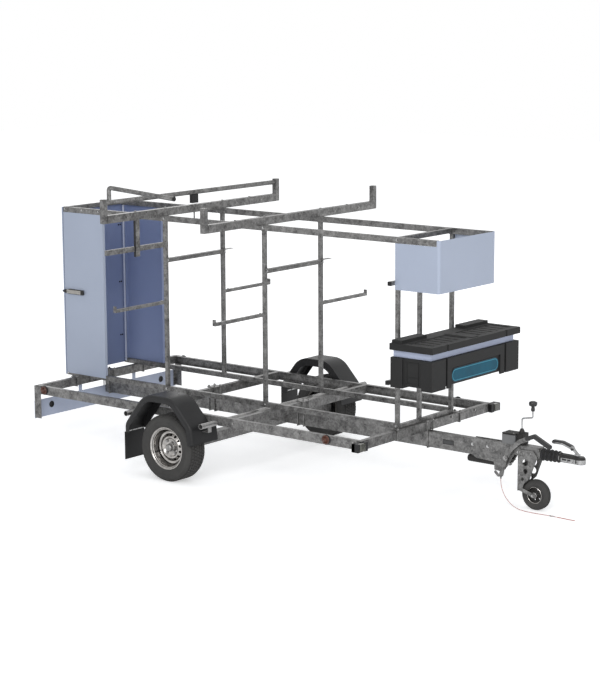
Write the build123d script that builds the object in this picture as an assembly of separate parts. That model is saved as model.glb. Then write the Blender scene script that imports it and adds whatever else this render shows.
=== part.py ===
"""Single-axle scaffolding trailer: spine chassis, tall narrow rack, rear cabinet and front toolbox.

Millimetres. X points forward to the coupling, Y to the trailer's left, Z up from the ground.
Stations along X are measured from the axle line; everything is shifted at the end so that the
origin lies under the middle of the whole length.
"""

import math
import os

from build123d import *

os.makedirs("parts", exist_ok=True)

# ---------------------------------------------------------------- driving sizes: running gear
TYRE_D = 528.0
TYRE_W = 196.0
TRACK = 1936.0
RIM_D = 350.0
RIM_W = 150.0
RIM_WALL = 5.0
DISC_OFFSET = 22.0
HUB_D = 72.0
STUB_R = 18.0
BRAKE_D = 230.0
BRAKE_W = 62.0
AXLE_TUBE = 80.0
AXLE_AHEAD = 95.0
ARM_THICK = 34.0

# ---------------------------------------------------------------- driving sizes: chassis
SPINE_BOTTOM = 342.0
SPINE_H = 120.0
SPINE_W = 60.0
SPINE_WALL = 4.0
SPINE_FRONT_X = 2500.0
BEAM_H = 70.0
BEAM_D = 40.0
BEAM_WALL = 3.0
RAIL_W = 35.0
CHASSIS_HALF = 855.0
REAR_BEAM_X = -1625.0
AFT_BEAM_X = -415.0
MID_BEAM_X = 522.0
FRONT_BEAM_X = 1725.0
GUARD_TUBE_D = 42.0
GUARD_TUBE_X = 355.0
GUARD_TUBE_HALF = 1042.0
CLAMP_ROD_D = 10.0
CLAMP_PLATE = 6.0

# ---------------------------------------------------------------- driving sizes: rack
POST = 30.0
POST_WALL = 2.5
RACK_HALF = 366.0
POST_X = (-1745.0, -612.0, 427.0, 1703.0)
RACK_TOP = 1970.0
TOP_RAIL_H = 45.0
LOW_RAIL_H = 40.0
RACK_FRONT_X = 2080.0
SHEET = 3.0
CABINET_DEPTH = 460.0
CABINET_BOTTOM = 550.0
FAIRING_BOTTOM = 1580.0
FAIRING_BEND = 22.0
DOOR_FOLD = 12.0
HINGE_Z = (1735.0, 1236.0, 766.0)
BAR_Z = 1630.0
BAR_SIDE = 40.0
ANGLE_T = 4.0
ARM_Z = 1255.0
ARM_H = 25.0
ARM_REACH = 955.0
ARM_TIP_H = 50.0
HANGER_Z = 1718.0
HANGER_REACH = 1038.0
STRAP_Y = 697.0
STRAP_W = 50.0
STRAP_T = 6.0
STRAP_BOTTOM = 1676.0
UPPER_BAR_HALF = 410.0
LOWER_BAR_HALF = 434.0
LOWER_BAR_Z = 875.0
UPPER_BAR_LOW = 17.0
UPPER_BAR_H = 31.0
LOWER_BAR_H = 32.0
BAR_CAP_L = 14.0
LATCH_Z = 1256.0

# ---------------------------------------------------------------- driving sizes: roof beams
ROOF_H = 62.0
ROOF_W = 50.0
ROOF_HALF = 1030.0
STUB_T = 45.0
STUB_TOP = 2160.0
ROLLER_D = 38.0
ROLLER_Z = 2131.0
LEVER_RISE = 115.0
LEVER_REACH = 680.0
LEVER_DROP = 45.0
PAD_W = 74.0
PAD_REACH = 88.0
DROP_ROD_D = 12.0
DROP_ROD_L = 88.0

# ---------------------------------------------------------------- driving sizes: toolbox
BOX_REAR_X = 1800.0
BOX_FRONT_X = 2170.0
BOX_HALF = 577.0
BOX_BOTTOM = 897.0
BOX_BODY_H = 225.0
BOX_NECK_H = 53.0
BOX_NECK_IN = 30.0
BOX_NECK_REAR = 6.0
BOX_WALL = 5.0
PANEL_RAISE = 18.0
PILLAR_W = 177.0
PILLAR_D = 95.0
REAR_PILLAR_D = 107.0
PILLAR_PROUD = 14.0
GROOVE_W = 22.0
FIELD_HALF = 322.0
FIELD_TOP = 1047.0
SIGN_HALF = 310.0
SIGN_BOTTOM = 929.0
SIGN_H = 104.0
SIGN_T = 5.0
LID_SLAB = 50.0
LID_OVER = 8.0
LID_REAR = 5.0
LID_BLOCK_H = 24.0
LID_BLOCK_D = 100.0
LID_BLOCK_Y = (250.0, 565.0)
LID_TRAY_Y = (60.0, 540.0)
LID_TRAY_X = (1925.0, 2125.0)
LID_TRAY_DEEP = 7.0
LID_TOP_T = 6.0

# ---------------------------------------------------------------- driving sizes: rear board, guards
BOARD_BOTTOM = 250.0
BOARD_H = 150.0
BOARD_HALF = 868.0
BOARD_PLATE_D = 76.0
BOARD_HOLE_R = 24.0
BOARD_HOLES = ((-674.0, 340.0), (0.0, 366.0), (674.0, 340.0))
TAB_Y = (310.0, 350.0)
REAR_LAMP_Y = (560.0, 820.0)
REAR_LAMP_D = 45.0
SIDE_LAMP_X = (-1534.0, 1425.0)
SIDE_LAMP_R = 32.0
SIDE_LAMP_H = 22.0
GUARD_REAR_X = -407.0
GUARD_FRONT_X = 302.0
GUARD_TOP = 672.0
GUARD_HALF = 1082.0
GUARD_T = 4.0
GUARD_LIP = 16.0
GUARD_SKIRT = 75.0
FLAP_BOTTOM = 124.0

# ---------------------------------------------------------------- driving sizes: front gear
HOUSING_REAR_X = 2150.0
HOUSING_FRONT_X = 2745.0
HOUSING_HALF = 38.0
HOUSING_TOP = 472.0
HOUSING_LOW = 395.0
SHAFT_Z = 424.0
SHAFT_D = 50.0
BELLOWS_R = 48.0
BELLOWS_FRONT_X = 2920.0
BALL_R = 25.2
BALL_Z = 414.0
HEAD_WALL = 12.0
TIP_X = 3109.0
HANDLE_BACK = (259.0, 184.0, 109.0, 63.0)
HANDLE_Z = 532.0
HANDLE_KNEE_Z = 508.0
HANDLE_W = 24.0
DAMPER_D = 56.0
JOCKEY_D = 226.0
JOCKEY_W = 76.0
JOCKEY_RIM_D = 124.0
JOCKEY_X = 2707.0
JOCKEY_PIVOT_X = 2600.0
JOCKEY_PIVOT_Z = 410.0
PIVOT_R = 8.0
FORK_IN = 44.0
FORK_T = 6.0
LEVER_Y = -58.0
LEVER_T = 8.0
LEVER_ROUTE = ((2440, 236), (2456, 310), (2480, 378), (2526, 444), (2590, 502), (2668, 538))
GRIP_ROUTE = ((2662, 538), (2720, 562), (2848, 500))
KNOB_R = 41.0
KNOB_H = 30.0
CRANK_X = 2574.0
CRANK_TOP = 790.0

# ---------------------------------------------------------------- driving sizes: breakaway cable
CABLE_D = 5.0
CABLE_LIE = 3.9
CLIP_LIE = 5.5
CABLE = (
    (2440, -68, 206), (2440, -68, 170), (2454, -71, 128), (2476, -75, 90), (2508, -81, 56), (2550, -88, 28),
    (2600, -95, 10), (2655, -101, CABLE_LIE), (2712, -108, CABLE_LIE), (2770, -110, CABLE_LIE),
    (2826, -104, CABLE_LIE), (2878, -105, CLIP_LIE), (2934, -105, CLIP_LIE), (2990, -103, CABLE_LIE),
    (3045, -106, CABLE_LIE), (3097, -105, CABLE_LIE),
)
CLIP_FROM = 11
CLIP_L = 38.0
CLIP_HALF = 12.0
CLIP_WIRE = 3.0
CLIP_GAP = 0.5
FERRULE_R = 4.0
FERRULE_L = 10.0

# ---------------------------------------------------------------- clearances
PIN_GAP = 0.1
SEAT_GAP = 0.3
TUBE_BORE_GAP = 0.4

# ---------------------------------------------------------------- derived places
SPINE_TOP = SPINE_BOTTOM + SPINE_H
BEAM_TOP = SPINE_TOP + BEAM_H
RACK_FOOT = BEAM_TOP
POST_TOP = RACK_TOP - TOP_RAIL_H
PANEL_OUT = RACK_HALF + SHEET
CABINET_REAR_X = POST_X[0] - POST / 2 - SHEET
ROOF_TOP = RACK_TOP + ROOF_H
FAIRING_REAR_X = POST_X[3] - POST / 2
WHEEL_Z = TYRE_D / 2
BEAM_X = (REAR_BEAM_X, AFT_BEAM_X, MID_BEAM_X, FRONT_BEAM_X)
GUARD_TUBE_Z = SPINE_TOP + GUARD_TUBE_D / 2
AXLE_Z = SPINE_BOTTOM - AXLE_TUBE / 2 - CLAMP_PLATE
GUARD_ROUTE = (
    (GUARD_REAR_X, FLAP_BOTTOM), (GUARD_REAR_X, 415.0), (-205.0, GUARD_TOP), (95.0, GUARD_TOP), (283.0, 470.0),
    (GUARD_FRONT_X, 332.0),
)
GUARD_BENDS = (70.0, 130.0, 110.0, 120.0)
GUARD_SLOPE = (GUARD_ROUTE[5][0] - GUARD_ROUTE[4][0]) / (GUARD_ROUTE[4][1] - GUARD_ROUTE[5][1])
GUARD_STUB_X = GUARD_REAR_X - GUARD_T / 2 - SEAT_GAP - GUARD_TUBE_D / 2
HINGE_X = CABINET_REAR_X - SHEET - 4
HINGE_Y = PANEL_OUT + 7
LID_Z = BOX_BOTTOM + BOX_BODY_H + BOX_NECK_H + SEAT_GAP
BOX_TOP = BOX_BOTTOM + BOX_BODY_H
LID_TOP = LID_Z + LID_SLAB
GROOVE_Y = BOX_HALF - PILLAR_W - GROOVE_W
JOURNAL_R = ROLLER_D / 2 - 7
SHIFT = -(TIP_X + CABINET_REAR_X - SHEET - 12.0) / 2


def span(x0, x1, y0, y1, z0, z1):
    """A block between two corners."""
    centre = Pos((x0 + x1) / 2, (y0 + y1) / 2, (z0 + z1) / 2)
    return centre * Box(abs(x1 - x0), abs(y1 - y0), abs(z1 - z0))


def rod_x(x0, x1, y, z, radius):
    """A round bar along X."""
    return Pos((x0 + x1) / 2, y, z) * Rot(0, 90, 0) * Cylinder(radius, abs(x1 - x0))


def rod_y(x, y0, y1, z, radius):
    """A round bar along Y."""
    return Pos(x, (y0 + y1) / 2, z) * Rot(90, 0, 0) * Cylinder(radius, abs(y1 - y0))


def rod_z(x, y, z0, z1, radius):
    """A round bar along Z."""
    return Pos(x, y, (z0 + z1) / 2) * Cylinder(radius, abs(z1 - z0))


def bar(p0, p1, radius):
    """A round bar between two points, with round ends."""
    a = Vector(*p0)
    b = Vector(*p1)
    path = b - a
    plane = Plane(origin=(a + b) * 0.5, z_dir=path)
    return plane * Cylinder(radius, path.length) + Pos(a) * Sphere(radius) + Pos(b) * Sphere(radius)


def hollow_x(x0, x1, y0, y1, z0, z1, wall):
    """A rectangular tube along X, open at its ends."""
    inner = span(x0 - 1, x1 + 1, y0 + wall, y1 - wall, z0 + wall, z1 - wall)
    return span(x0, x1, y0, y1, z0, z1) - inner


def hollow_y(x0, x1, y0, y1, z0, z1, wall):
    """A rectangular tube along Y, open at its ends."""
    inner = span(x0 + wall, x1 - wall, y0 - 1, y1 + 1, z0 + wall, z1 - wall)
    return span(x0, x1, y0, y1, z0, z1) - inner


def hollow_z(x0, x1, y0, y1, z0, z1, wall):
    """A rectangular tube along Z, open at its ends."""
    inner = span(x0 + wall, x1 - wall, y0 + wall, y1 - wall, z0 - 1, z1 + 1)
    return span(x0, x1, y0, y1, z0, z1) - inner


def plate_xz(points, y0, y1):
    """A flat plate in the XZ plane from its outline, between two Y levels."""
    outline = Polyline(*[(x, 0, z) for x, z in points], close=True)
    face = Pos(0, max(y0, y1), 0) * make_face(outline)
    return extrude(face, amount=abs(y1 - y0), dir=(0, -1, 0))


def both_sides(shape):
    """The shape and its mirror image across the trailer's centre plane."""
    return [shape, mirror(shape, about=Plane.XZ)]


def turned_y(profile, y_centre):
    """Turns a half profile of (radius, y) points about the Y axis through the origin."""
    outline = Polyline(*[(r, y_centre + y, 0) for r, y in profile], close=True)
    return revolve(make_face(outline), axis=Axis.Y)


def write(name, *solids):
    """Writes one sub-part: its solids, shifted to the part's own frame."""
    shape = solids[0] if len(solids) == 1 else Compound(children=list(solids))
    moved = Pos(SHIFT, 0, 0) * shape
    export_step(moved, f"parts/{name}.step")


# ================================================================ chassis
def spine():
    """The central box beam that runs from the rear beam to the overrun housing."""
    return hollow_x(
        REAR_BEAM_X - BEAM_D / 2, SPINE_FRONT_X, -SPINE_W / 2, SPINE_W / 2, SPINE_BOTTOM, SPINE_TOP, SPINE_WALL
    )


def cross_beams():
    """Four lateral beams on the spine: two run past the side rails, two sit between them."""
    beams = []
    for x in BEAM_X:
        full = x in (REAR_BEAM_X, FRONT_BEAM_X)
        half = CHASSIS_HALF if full else CHASSIS_HALF - RAIL_W
        beams.append(hollow_y(x - BEAM_D / 2, x + BEAM_D / 2, -half, half, SPINE_TOP, BEAM_TOP, BEAM_WALL))
    return beams


def side_rail():
    """The left outer rail, a channel open to the inside, with the bore for the guard tube."""
    x0 = REAR_BEAM_X + BEAM_D / 2
    x1 = FRONT_BEAM_X - BEAM_D / 2
    rail = span(x0, x1, CHASSIS_HALF - RAIL_W, CHASSIS_HALF, SPINE_TOP, BEAM_TOP)
    inside = span(
        x0 - 1, x1 + 1, CHASSIS_HALF - RAIL_W - 1, CHASSIS_HALF - BEAM_WALL, SPINE_TOP + BEAM_WALL,
        BEAM_TOP - BEAM_WALL
    )
    bore_r = GUARD_TUBE_D / 2 + TUBE_BORE_GAP
    bore = rod_y(GUARD_TUBE_X, CHASSIS_HALF - RAIL_W - 1, CHASSIS_HALF + 1, GUARD_TUBE_Z, bore_r)
    return rail - inside - bore


def guard_tubes():
    """The front tube across the chassis and two rear stubs, which carry the mudguards."""
    outer = GUARD_TUBE_D / 2
    half = GUARD_TUBE_HALF
    front = rod_y(GUARD_TUBE_X, -half, half, GUARD_TUBE_Z, outer)
    front = front - rod_y(GUARD_TUBE_X, -half - 1, half + 1, GUARD_TUBE_Z, outer - BEAM_WALL)
    stub = rod_y(GUARD_STUB_X, CHASSIS_HALF, half, GUARD_TUBE_Z, outer)
    stub = stub - rod_y(GUARD_STUB_X, CHASSIS_HALF + 4, half + 1, GUARD_TUBE_Z, outer - BEAM_WALL)
    drop_x = GUARD_STUB_X + outer
    stub = stub + span(drop_x - 6, drop_x, CHASSIS_HALF + 60, CHASSIS_HALF + 100, 340, GUARD_TUBE_Z)
    plate_x = GUARD_TUBE_X - 4
    hold_z = 423.0
    guard_x = GUARD_FRONT_X + GUARD_T / 2 - (hold_z - GUARD_ROUTE[5][1]) * GUARD_SLOPE
    for y in (-CHASSIS_HALF - 80, CHASSIS_HALF + 80):
        drop = span(plate_x - 3, plate_x + 3, y - 20, y + 20, hold_z - 3, GUARD_TUBE_Z - outer + 2)
        foot = span(guard_x + 2 * SEAT_GAP, plate_x + 3, y - 20, y + 20, hold_z - 3, hold_z + 3)
        front = front + drop + foot
    return [front] + both_sides(stub)


def u_rod(x, half, z_low, z_high):
    """A U-bolt in the YZ plane, open upwards, round a member of half width `half`."""
    radius = CLAMP_ROD_D / 2
    y = half + radius
    low = z_low - radius
    legs = rod_z(x, -y, low, z_high, radius) + rod_z(x, y, low, z_high, radius)
    return bar((x, -y, low), (x, y, low), radius) + legs


def spine_clamps():
    """U-bolts that hold each cross beam down on the spine."""
    clamps = []
    reach = BEAM_D / 2 + CLAMP_ROD_D
    for x in BEAM_X:
        first = x - reach - CLAMP_ROD_D / 2
        offsets = (-reach, reach)
        if x == FRONT_BEAM_X:
            first = POST_X[3] + POST / 2 + 2
            offsets = (reach,)
        last = x + reach + CLAMP_ROD_D / 2 + 4
        plate = span(first, last, -SPINE_W / 2 - 22, SPINE_W / 2 + 22, BEAM_TOP, BEAM_TOP + CLAMP_PLATE)
        for dx in offsets:
            plate = plate + u_rod(x + dx, SPINE_W / 2, SPINE_BOTTOM, BEAM_TOP + CLAMP_PLATE + 12)
        clamps.append(plate)
    return clamps


def rack_clamps():
    """U-bolts that hold the rack's lower rails to the rear and front beams."""
    clamps = []
    radius = CLAMP_ROD_D / 2
    for x in (REAR_BEAM_X, FRONT_BEAM_X):
        y = RACK_HALF + 45
        low = SPINE_TOP - radius
        reach = BEAM_D / 2 + radius
        loop = bar((x - reach, y, low), (x + reach, y, low), radius)
        for leg_x in (x - reach, x + reach):
            loop = loop + rod_z(leg_x, y, low, BEAM_TOP + 18, radius)
        plate = span(x - reach - 12, x + reach + 12, RACK_HALF, y + 14, BEAM_TOP, BEAM_TOP + CLAMP_PLATE)
        clamps += both_sides(loop + plate)
    return clamps


# ================================================================ axle and wheels
def axle():
    """The torsion axle: a square tube under the spine, swing arms at its ends and stub axles."""
    inner_face = TRACK / 2 - TYRE_W / 2
    arm_y = inner_face - ARM_THICK - 18
    tube = hollow_y(
        AXLE_AHEAD - AXLE_TUBE / 2, AXLE_AHEAD + AXLE_TUBE / 2, -arm_y, arm_y, AXLE_Z - AXLE_TUBE / 2,
        AXLE_Z + AXLE_TUBE / 2, 6
    )
    saddle = span(AXLE_AHEAD - 75, AXLE_AHEAD + 75, -70, 70, AXLE_Z + AXLE_TUBE / 2, SPINE_BOTTOM)
    tube = tube + saddle
    for side in (-1, 1):
        y0 = side * arm_y
        y1 = side * (arm_y + ARM_THICK)
        arm = rod_y(AXLE_AHEAD, y0, y1, AXLE_Z, 48) + rod_y(0, y0, y1, WHEEL_Z, 32)
        dx = AXLE_AHEAD
        dz = AXLE_Z - WHEEL_Z
        length = math.hypot(dx, dz)
        web = Rot(0, -math.degrees(math.atan2(dz, dx)), 0) * Pos(length / 2, 0, 0) * Box(length, ARM_THICK, 60)
        arm = arm + Pos(0, (y0 + y1) / 2, WHEEL_Z) * web
        drum_y = side * (inner_face + 14)
        stub = rod_y(0, y1, side * (TRACK / 2 + 8), WHEEL_Z, STUB_R)
        back_plate = rod_y(0, y1, drum_y, WHEEL_Z, BRAKE_D / 2)
        tube = tube + arm + stub + back_plate
    return tube


def tyre(side):
    """A tyre with square shoulders and a bore for the rim."""
    half = TYRE_W / 2
    top = TYRE_D / 2
    bead = RIM_D / 2 - 14
    lip = RIM_D / 2 + 1
    profile = [
        (bead, -RIM_W / 2), (lip, -RIM_W / 2), (lip + 8, -half + 10), (top - 56, -half), (top - 30, -half + 4),
        (top - 8, -half + 14), (top, -half + 30), (top, half - 30), (top - 8, half - 14), (top - 30, half - 4),
        (top - 56, half), (lip + 8, half - 10), (lip, RIM_W / 2), (bead, RIM_W / 2),
    ]
    return Pos(0, side * TRACK / 2, WHEEL_Z) * turned_y(profile, 0)


def rim(side):
    """A pressed steel rim with its disc, vent holes and bolt holes."""
    half = RIM_W / 2
    bead = RIM_D / 2 - 14
    lip = RIM_D / 2
    wall = RIM_WALL
    profile = [
        (bead, -half), (lip, -half), (lip, -half - 6), (bead - wall, -half - 6), (bead - wall, -half + 22),
        (bead - 24 - wall, -half + 44), (bead - 24 - wall, half - 44), (bead - wall, half - 22),
        (bead - wall, half + 6), (lip, half + 6), (lip, half), (bead, half), (bead, half - 22),
        (bead - 24, half - 44), (bead - 24, -half + 44), (bead, -half + 22),
    ]
    barrel = turned_y(profile, 0)
    disc_out = DISC_OFFSET
    r_out = bead - 24 - wall + 1
    disc = turned_y(
        [(HUB_D / 2, disc_out - 6), (88, disc_out - 6), (104, disc_out + 12), (r_out, disc_out + 2),
         (r_out, disc_out - 4), (106, disc_out + 6), (90, disc_out - 12), (HUB_D / 2, disc_out - 12)], 0)
    for i in range(12):
        hole = Rot(0, i * 30, 0) * Pos(116, disc_out, 0) * Rot(90, 0, 0) * Cylinder(9, 60)
        disc = disc - hole
    for i in range(4):
        hole = Rot(0, 45 + i * 90, 0) * Pos(62, disc_out - 9, 0) * Rot(90, 0, 0) * Cylinder(8, 30)
        disc = disc - hole
    wheel = barrel + disc
    if side < 0:
        wheel = mirror(wheel, about=Plane.XZ)
    return Pos(0, side * TRACK / 2, WHEEL_Z) * wheel


def hub(side):
    """The turning brake drum with its hub and four wheel bolts."""
    disc_in = DISC_OFFSET - 12
    inner = -TYRE_W / 2 + 16
    profile = [
        (STUB_R + PIN_GAP, inner + 20), (BRAKE_D / 2 - 8, inner + 20), (BRAKE_D / 2 - 8, inner),
        (BRAKE_D / 2, inner), (BRAKE_D / 2, inner + BRAKE_W), (90, inner + BRAKE_W + 6), (80, disc_in),
        (HUB_D / 2 - 1, disc_in), (HUB_D / 2 - 1, disc_in + 30), (26, disc_in + 52), (0, disc_in + 52),
        (0, disc_in + 2), (STUB_R + PIN_GAP, disc_in + 2),
    ]
    drum = turned_y(profile, 0)
    for i in range(4):
        bolt = Rot(0, 45 + i * 90, 0) * Pos(62, disc_in + 14, 0) * Rot(90, 0, 0) * Cylinder(7, 30)
        head = Rot(0, 45 + i * 90, 0) * Pos(62, disc_in + 12, 0) * Rot(90, 0, 0) * Cylinder(11, 12)
        drum = drum + bolt + head
    if side < 0:
        drum = mirror(drum, about=Plane.XZ)
    return Pos(0, side * TRACK / 2, WHEEL_Z) * drum


# ================================================================ rack
def post(x, side):
    """One upright tube of the rack, from the chassis beams to the top rail."""
    y0 = side * (RACK_HALF - POST)
    y1 = side * RACK_HALF
    return hollow_z(x - POST / 2, x + POST / 2, min(y0, y1), max(y0, y1), RACK_FOOT, POST_TOP, POST_WALL)


def centre_post():
    """The middle upright behind the front pair, under the front lateral bar."""
    x1 = POST_X[3] - POST / 2
    return hollow_z(x1 - POST, x1, -POST * 1.5, -POST / 2, RACK_FOOT - 12, BAR_Z - UPPER_BAR_LOW, POST_WALL)


def low_rails():
    """Lower rails: three stretches on each side, between neighbouring posts."""
    rails = []
    top = RACK_FOOT + LOW_RAIL_H
    for behind, ahead in zip(POST_X, POST_X[1:]):
        x0 = behind + POST / 2
        x1 = ahead - POST / 2
        rails += both_sides(hollow_x(x0, x1, RACK_HALF - POST, RACK_HALF, RACK_FOOT, top, POST_WALL))
    return rails


def top_rails():
    """The two top rails, from the rear posts to the front fairing."""
    x0 = POST_X[0] - POST / 2
    x1 = RACK_FRONT_X - FAIRING_BEND
    return both_sides(hollow_x(x0, x1, RACK_HALF - POST, RACK_HALF, POST_TOP, RACK_TOP, POST_WALL))


def rack_laterals():
    """Lateral members between the rails: rear foot, rear top, front foot and front top."""
    inner = RACK_HALF - POST
    members = []
    for x in (POST_X[0], POST_X[3]):
        members.append(hollow_y(x - POST / 2, x + POST / 2, -inner, inner, RACK_TOP - 36, RACK_TOP, POST_WALL))
    foot_z = BEAM_TOP + 2
    front = POST_X[3]
    members.append(hollow_y(front - POST / 2, front + POST / 2, -inner, inner, foot_z, foot_z + 28, POST_WALL))
    return members


def angle_bars():
    """Angle bars across the rear and middle posts, with a flange that runs on past the left post."""
    bars = []
    for x in POST_X[1:3]:
        x0 = x + POST / 2
        leg = span(x0, x0 + ANGLE_T, -RACK_HALF, RACK_HALF, BAR_Z - BAR_SIDE, BAR_Z)
        flange = span(x0, x0 + BAR_SIDE, -RACK_HALF, RACK_HALF + 62, BAR_Z - ANGLE_T, BAR_Z)
        bars.append(leg + flange)
    return bars


def front_bars():
    """Two lateral tubes on the back of the front posts: one for the fairing, one for the toolbox."""
    x1 = POST_X[3] - POST / 2
    x0 = x1 - POST
    low = BAR_Z - UPPER_BAR_LOW
    upper = hollow_y(x0, x1, -UPPER_BAR_HALF, UPPER_BAR_HALF, low, low + UPPER_BAR_H, POST_WALL)
    low = LOWER_BAR_Z
    top = low + LOWER_BAR_H
    cut = span(x0 - 1, x1 + 1, -POST * 1.5, -POST / 2, low - 1, top + 1)
    lower = hollow_y(x0, x1, -LOWER_BAR_HALF, LOWER_BAR_HALF, low, top, POST_WALL)
    pieces = (lower - cut).solids()
    return [upper] + list(pieces)


def bar_caps():
    """Plastic caps on the ends of the two front bars."""
    caps = []
    x1 = POST_X[3] - POST / 2
    upper = (UPPER_BAR_HALF, BAR_Z - UPPER_BAR_LOW, UPPER_BAR_H)
    lower = (LOWER_BAR_HALF, LOWER_BAR_Z, LOWER_BAR_H)
    for reach, z0, height in (upper, lower):
        cap = span(x1 - POST, x1, reach, reach + BAR_CAP_L, z0, z0 + height)
        caps += both_sides(fillet(cap.edges().group_by(Axis.Y)[-1], 4))
    return caps


def side_arms():
    """Arms that reach out from the rear and middle posts, each with an upturned tip."""
    arms = []
    for x in POST_X[1:3]:
        arm = span(x - POST / 2, x + POST / 2, RACK_HALF, ARM_REACH, ARM_Z, ARM_Z + ARM_H)
        tip = span(x - POST / 2, x + POST / 2, ARM_REACH - 8, ARM_REACH, ARM_Z, ARM_Z + ARM_TIP_H)
        arms += both_sides(arm + tip)
    return arms


def hanger():
    """The upper right arm, its strap from the rear roof beam, and the drop rod under that beam."""
    x = POST_X[1]
    rear = x - POST / 2
    front = x + POST / 2
    strap_y = (-STRAP_Y - STRAP_W / 2, -STRAP_Y + STRAP_W / 2)
    arm = span(rear, front, -HANGER_REACH, -RACK_HALF, HANGER_Z, HANGER_Z + BAR_SIDE)
    strap = span(front, front + STRAP_T, *strap_y, STRAP_BOTTOM, RACK_TOP)
    foot = span(rear, front + STRAP_T, *strap_y, RACK_TOP - STRAP_T, RACK_TOP)
    drop_rod = rod_z(x, 0, RACK_TOP - DROP_ROD_L, RACK_TOP, DROP_ROD_D / 2)
    return [arm + strap + foot, drop_rod]


# ================================================================ cabinet, door and fairing
def cabinet_side(side):
    """A side panel of the rear cabinet with its front edge folded in."""
    x0 = CABINET_REAR_X
    x1 = x0 + CABINET_DEPTH
    y0 = side * RACK_HALF
    y1 = side * PANEL_OUT
    panel = span(x0 + SHEET, x1, min(y0, y1), max(y0, y1), CABINET_BOTTOM, POST_TOP)
    fold_in = side * (RACK_HALF - 24)
    fold = span(x1 - SHEET, x1, min(fold_in, y1), max(fold_in, y1), RACK_FOOT + LOW_RAIL_H + 2, POST_TOP)
    return panel + fold


def rear_door():
    """The rear door: a sheet with folded edges, hinged at the left rear corner."""
    x0 = CABINET_REAR_X
    y1 = RACK_HALF - 4
    y0 = -PANEL_OUT
    z0 = CABINET_BOTTOM - 14
    z1 = RACK_TOP - 4
    door = span(x0 - SHEET - 2, x0 - 2, y0, y1, z0, z1)
    fold = x0 - 2 - DOOR_FOLD
    door = door + span(fold, x0 - 2, y0, y0 + SHEET, z0, z1)
    door = door + span(fold, x0 - 2, y0, y1, z1 - SHEET, z1)
    door = door + span(fold, x0 - 2, y0, y1, z0, z0 + SHEET)
    door = door + span(fold, x0 - 3, y0 - 16, y0, LATCH_Z - 8, LATCH_Z + 8)
    for z in HINGE_Z:
        leaf = span(x0 - SHEET - 6, x0 - SHEET - 2, y1 - 50, HINGE_Y, z, z + 34)
        barrel = rod_z(HINGE_X, HINGE_Y, z, z + 34, 8) - rod_z(HINGE_X, HINGE_Y, z - 1, z + 35, 5 + PIN_GAP)
        door = door + (leaf - rod_z(HINGE_X, HINGE_Y, z - 1, z + 35, 7)) + barrel
    return door


def door_hinges():
    """The fixed halves of the three door hinges: leaf, lower barrel and pin."""
    fixed = []
    for z in HINGE_Z:
        barrel = rod_z(HINGE_X, HINGE_Y, z - 35, z - 1, 8)
        pin = rod_z(HINGE_X, HINGE_Y, z - 35, z + 32, 5)
        leaf = span(HINGE_X, POST_X[0] + POST / 2, PANEL_OUT, PANEL_OUT + 4, z - 35, z - 1)
        fixed.append(barrel + pin + leaf)
    return fixed


def door_latch():
    """The over-centre latch on the right panel: base plate, lever and draw hook."""
    x0 = CABINET_REAR_X + 8
    y = -PANEL_OUT
    base = span(x0 + 40, x0 + 190, y - 4, y, LATCH_Z - 20, LATCH_Z + 20)
    lever = span(x0 + 20, x0 + 230, y - 24, y - 12, LATCH_Z - 16, LATCH_Z + 16)
    ears = span(x0 + 60, x0 + 120, y - 14, y - 4, LATCH_Z - 16, LATCH_Z + 16)
    hook = span(x0 - 9, x0 + 60, y - 20, y - 12, LATCH_Z - 8, LATCH_Z + 8)
    return base + lever + ears + hook


def front_fairing():
    """The sheet that wraps the front of the rack: two sides and a front face."""
    x0 = FAIRING_REAR_X
    x1 = RACK_FRONT_X
    bend = FAIRING_BEND
    side_y = PANEL_OUT
    outer = span(x0, x1 + SHEET, -side_y, side_y, FAIRING_BOTTOM, RACK_TOP)
    outer = fillet(outer.edges().filter_by(Axis.Z).sort_by(Axis.X)[-2:], bend)
    inner = span(x0 - 1, x1, -RACK_HALF, RACK_HALF, FAIRING_BOTTOM - 1, RACK_TOP + 1)
    inner = fillet(inner.edges().filter_by(Axis.Z).sort_by(Axis.X)[-2:], bend - SHEET)
    shell = outer - inner
    notch = span(x0 - 1, RACK_FRONT_X - bend, -side_y - 1, side_y + 1, POST_TOP, RACK_TOP + 1)
    return shell - notch


# ================================================================ roof beams and clamp roller
def roof_beams():
    """Two roof beams with their raised end stubs."""
    beams = []
    for index, x in enumerate(POST_X[1:3]):
        beam = hollow_y(x - ROOF_W / 2, x + ROOF_W / 2, -ROOF_HALF, ROOF_HALF, RACK_TOP, ROOF_TOP, BEAM_WALL)
        for side in (-1, 1):
            y0 = side * ROOF_HALF
            y1 = side * (ROOF_HALF + STUB_T)
            stub = hollow_z(x - 20, x + 20, min(y0, y1), max(y0, y1), RACK_TOP, STUB_TOP, POST_WALL)
            cap = span(x - 20, x + 20, min(y0, y1), max(y0, y1), STUB_TOP - 4, STUB_TOP)
            beam = beam + stub + cap
            if index == 0:
                beam = beam - rod_y(x, y0 - side * 1, y0 + side * 4, ROLLER_Z, JOURNAL_R + PIN_GAP)
        beams.append(beam)
    return beams


def clamp_roller():
    """The roller between the rear stubs, with its pad and the bent lever at its right end."""
    x = POST_X[1]
    end = ROOF_HALF - SEAT_GAP
    radius = ROLLER_D / 2
    roller = rod_y(x, -end, end, ROLLER_Z, radius)
    roller = roller + rod_y(x, -end - 3, end + 3, ROLLER_Z, JOURNAL_R)
    leg_y = -990.0
    leg_top = ROLLER_Z + LEVER_RISE
    lever = bar((x, leg_y, ROLLER_Z), (x, leg_y, leg_top), radius - 1)
    lever = lever + bar((x, leg_y, leg_top), (x + LEVER_REACH, leg_y, leg_top - LEVER_DROP), radius - 1)
    return roller + lever


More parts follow.
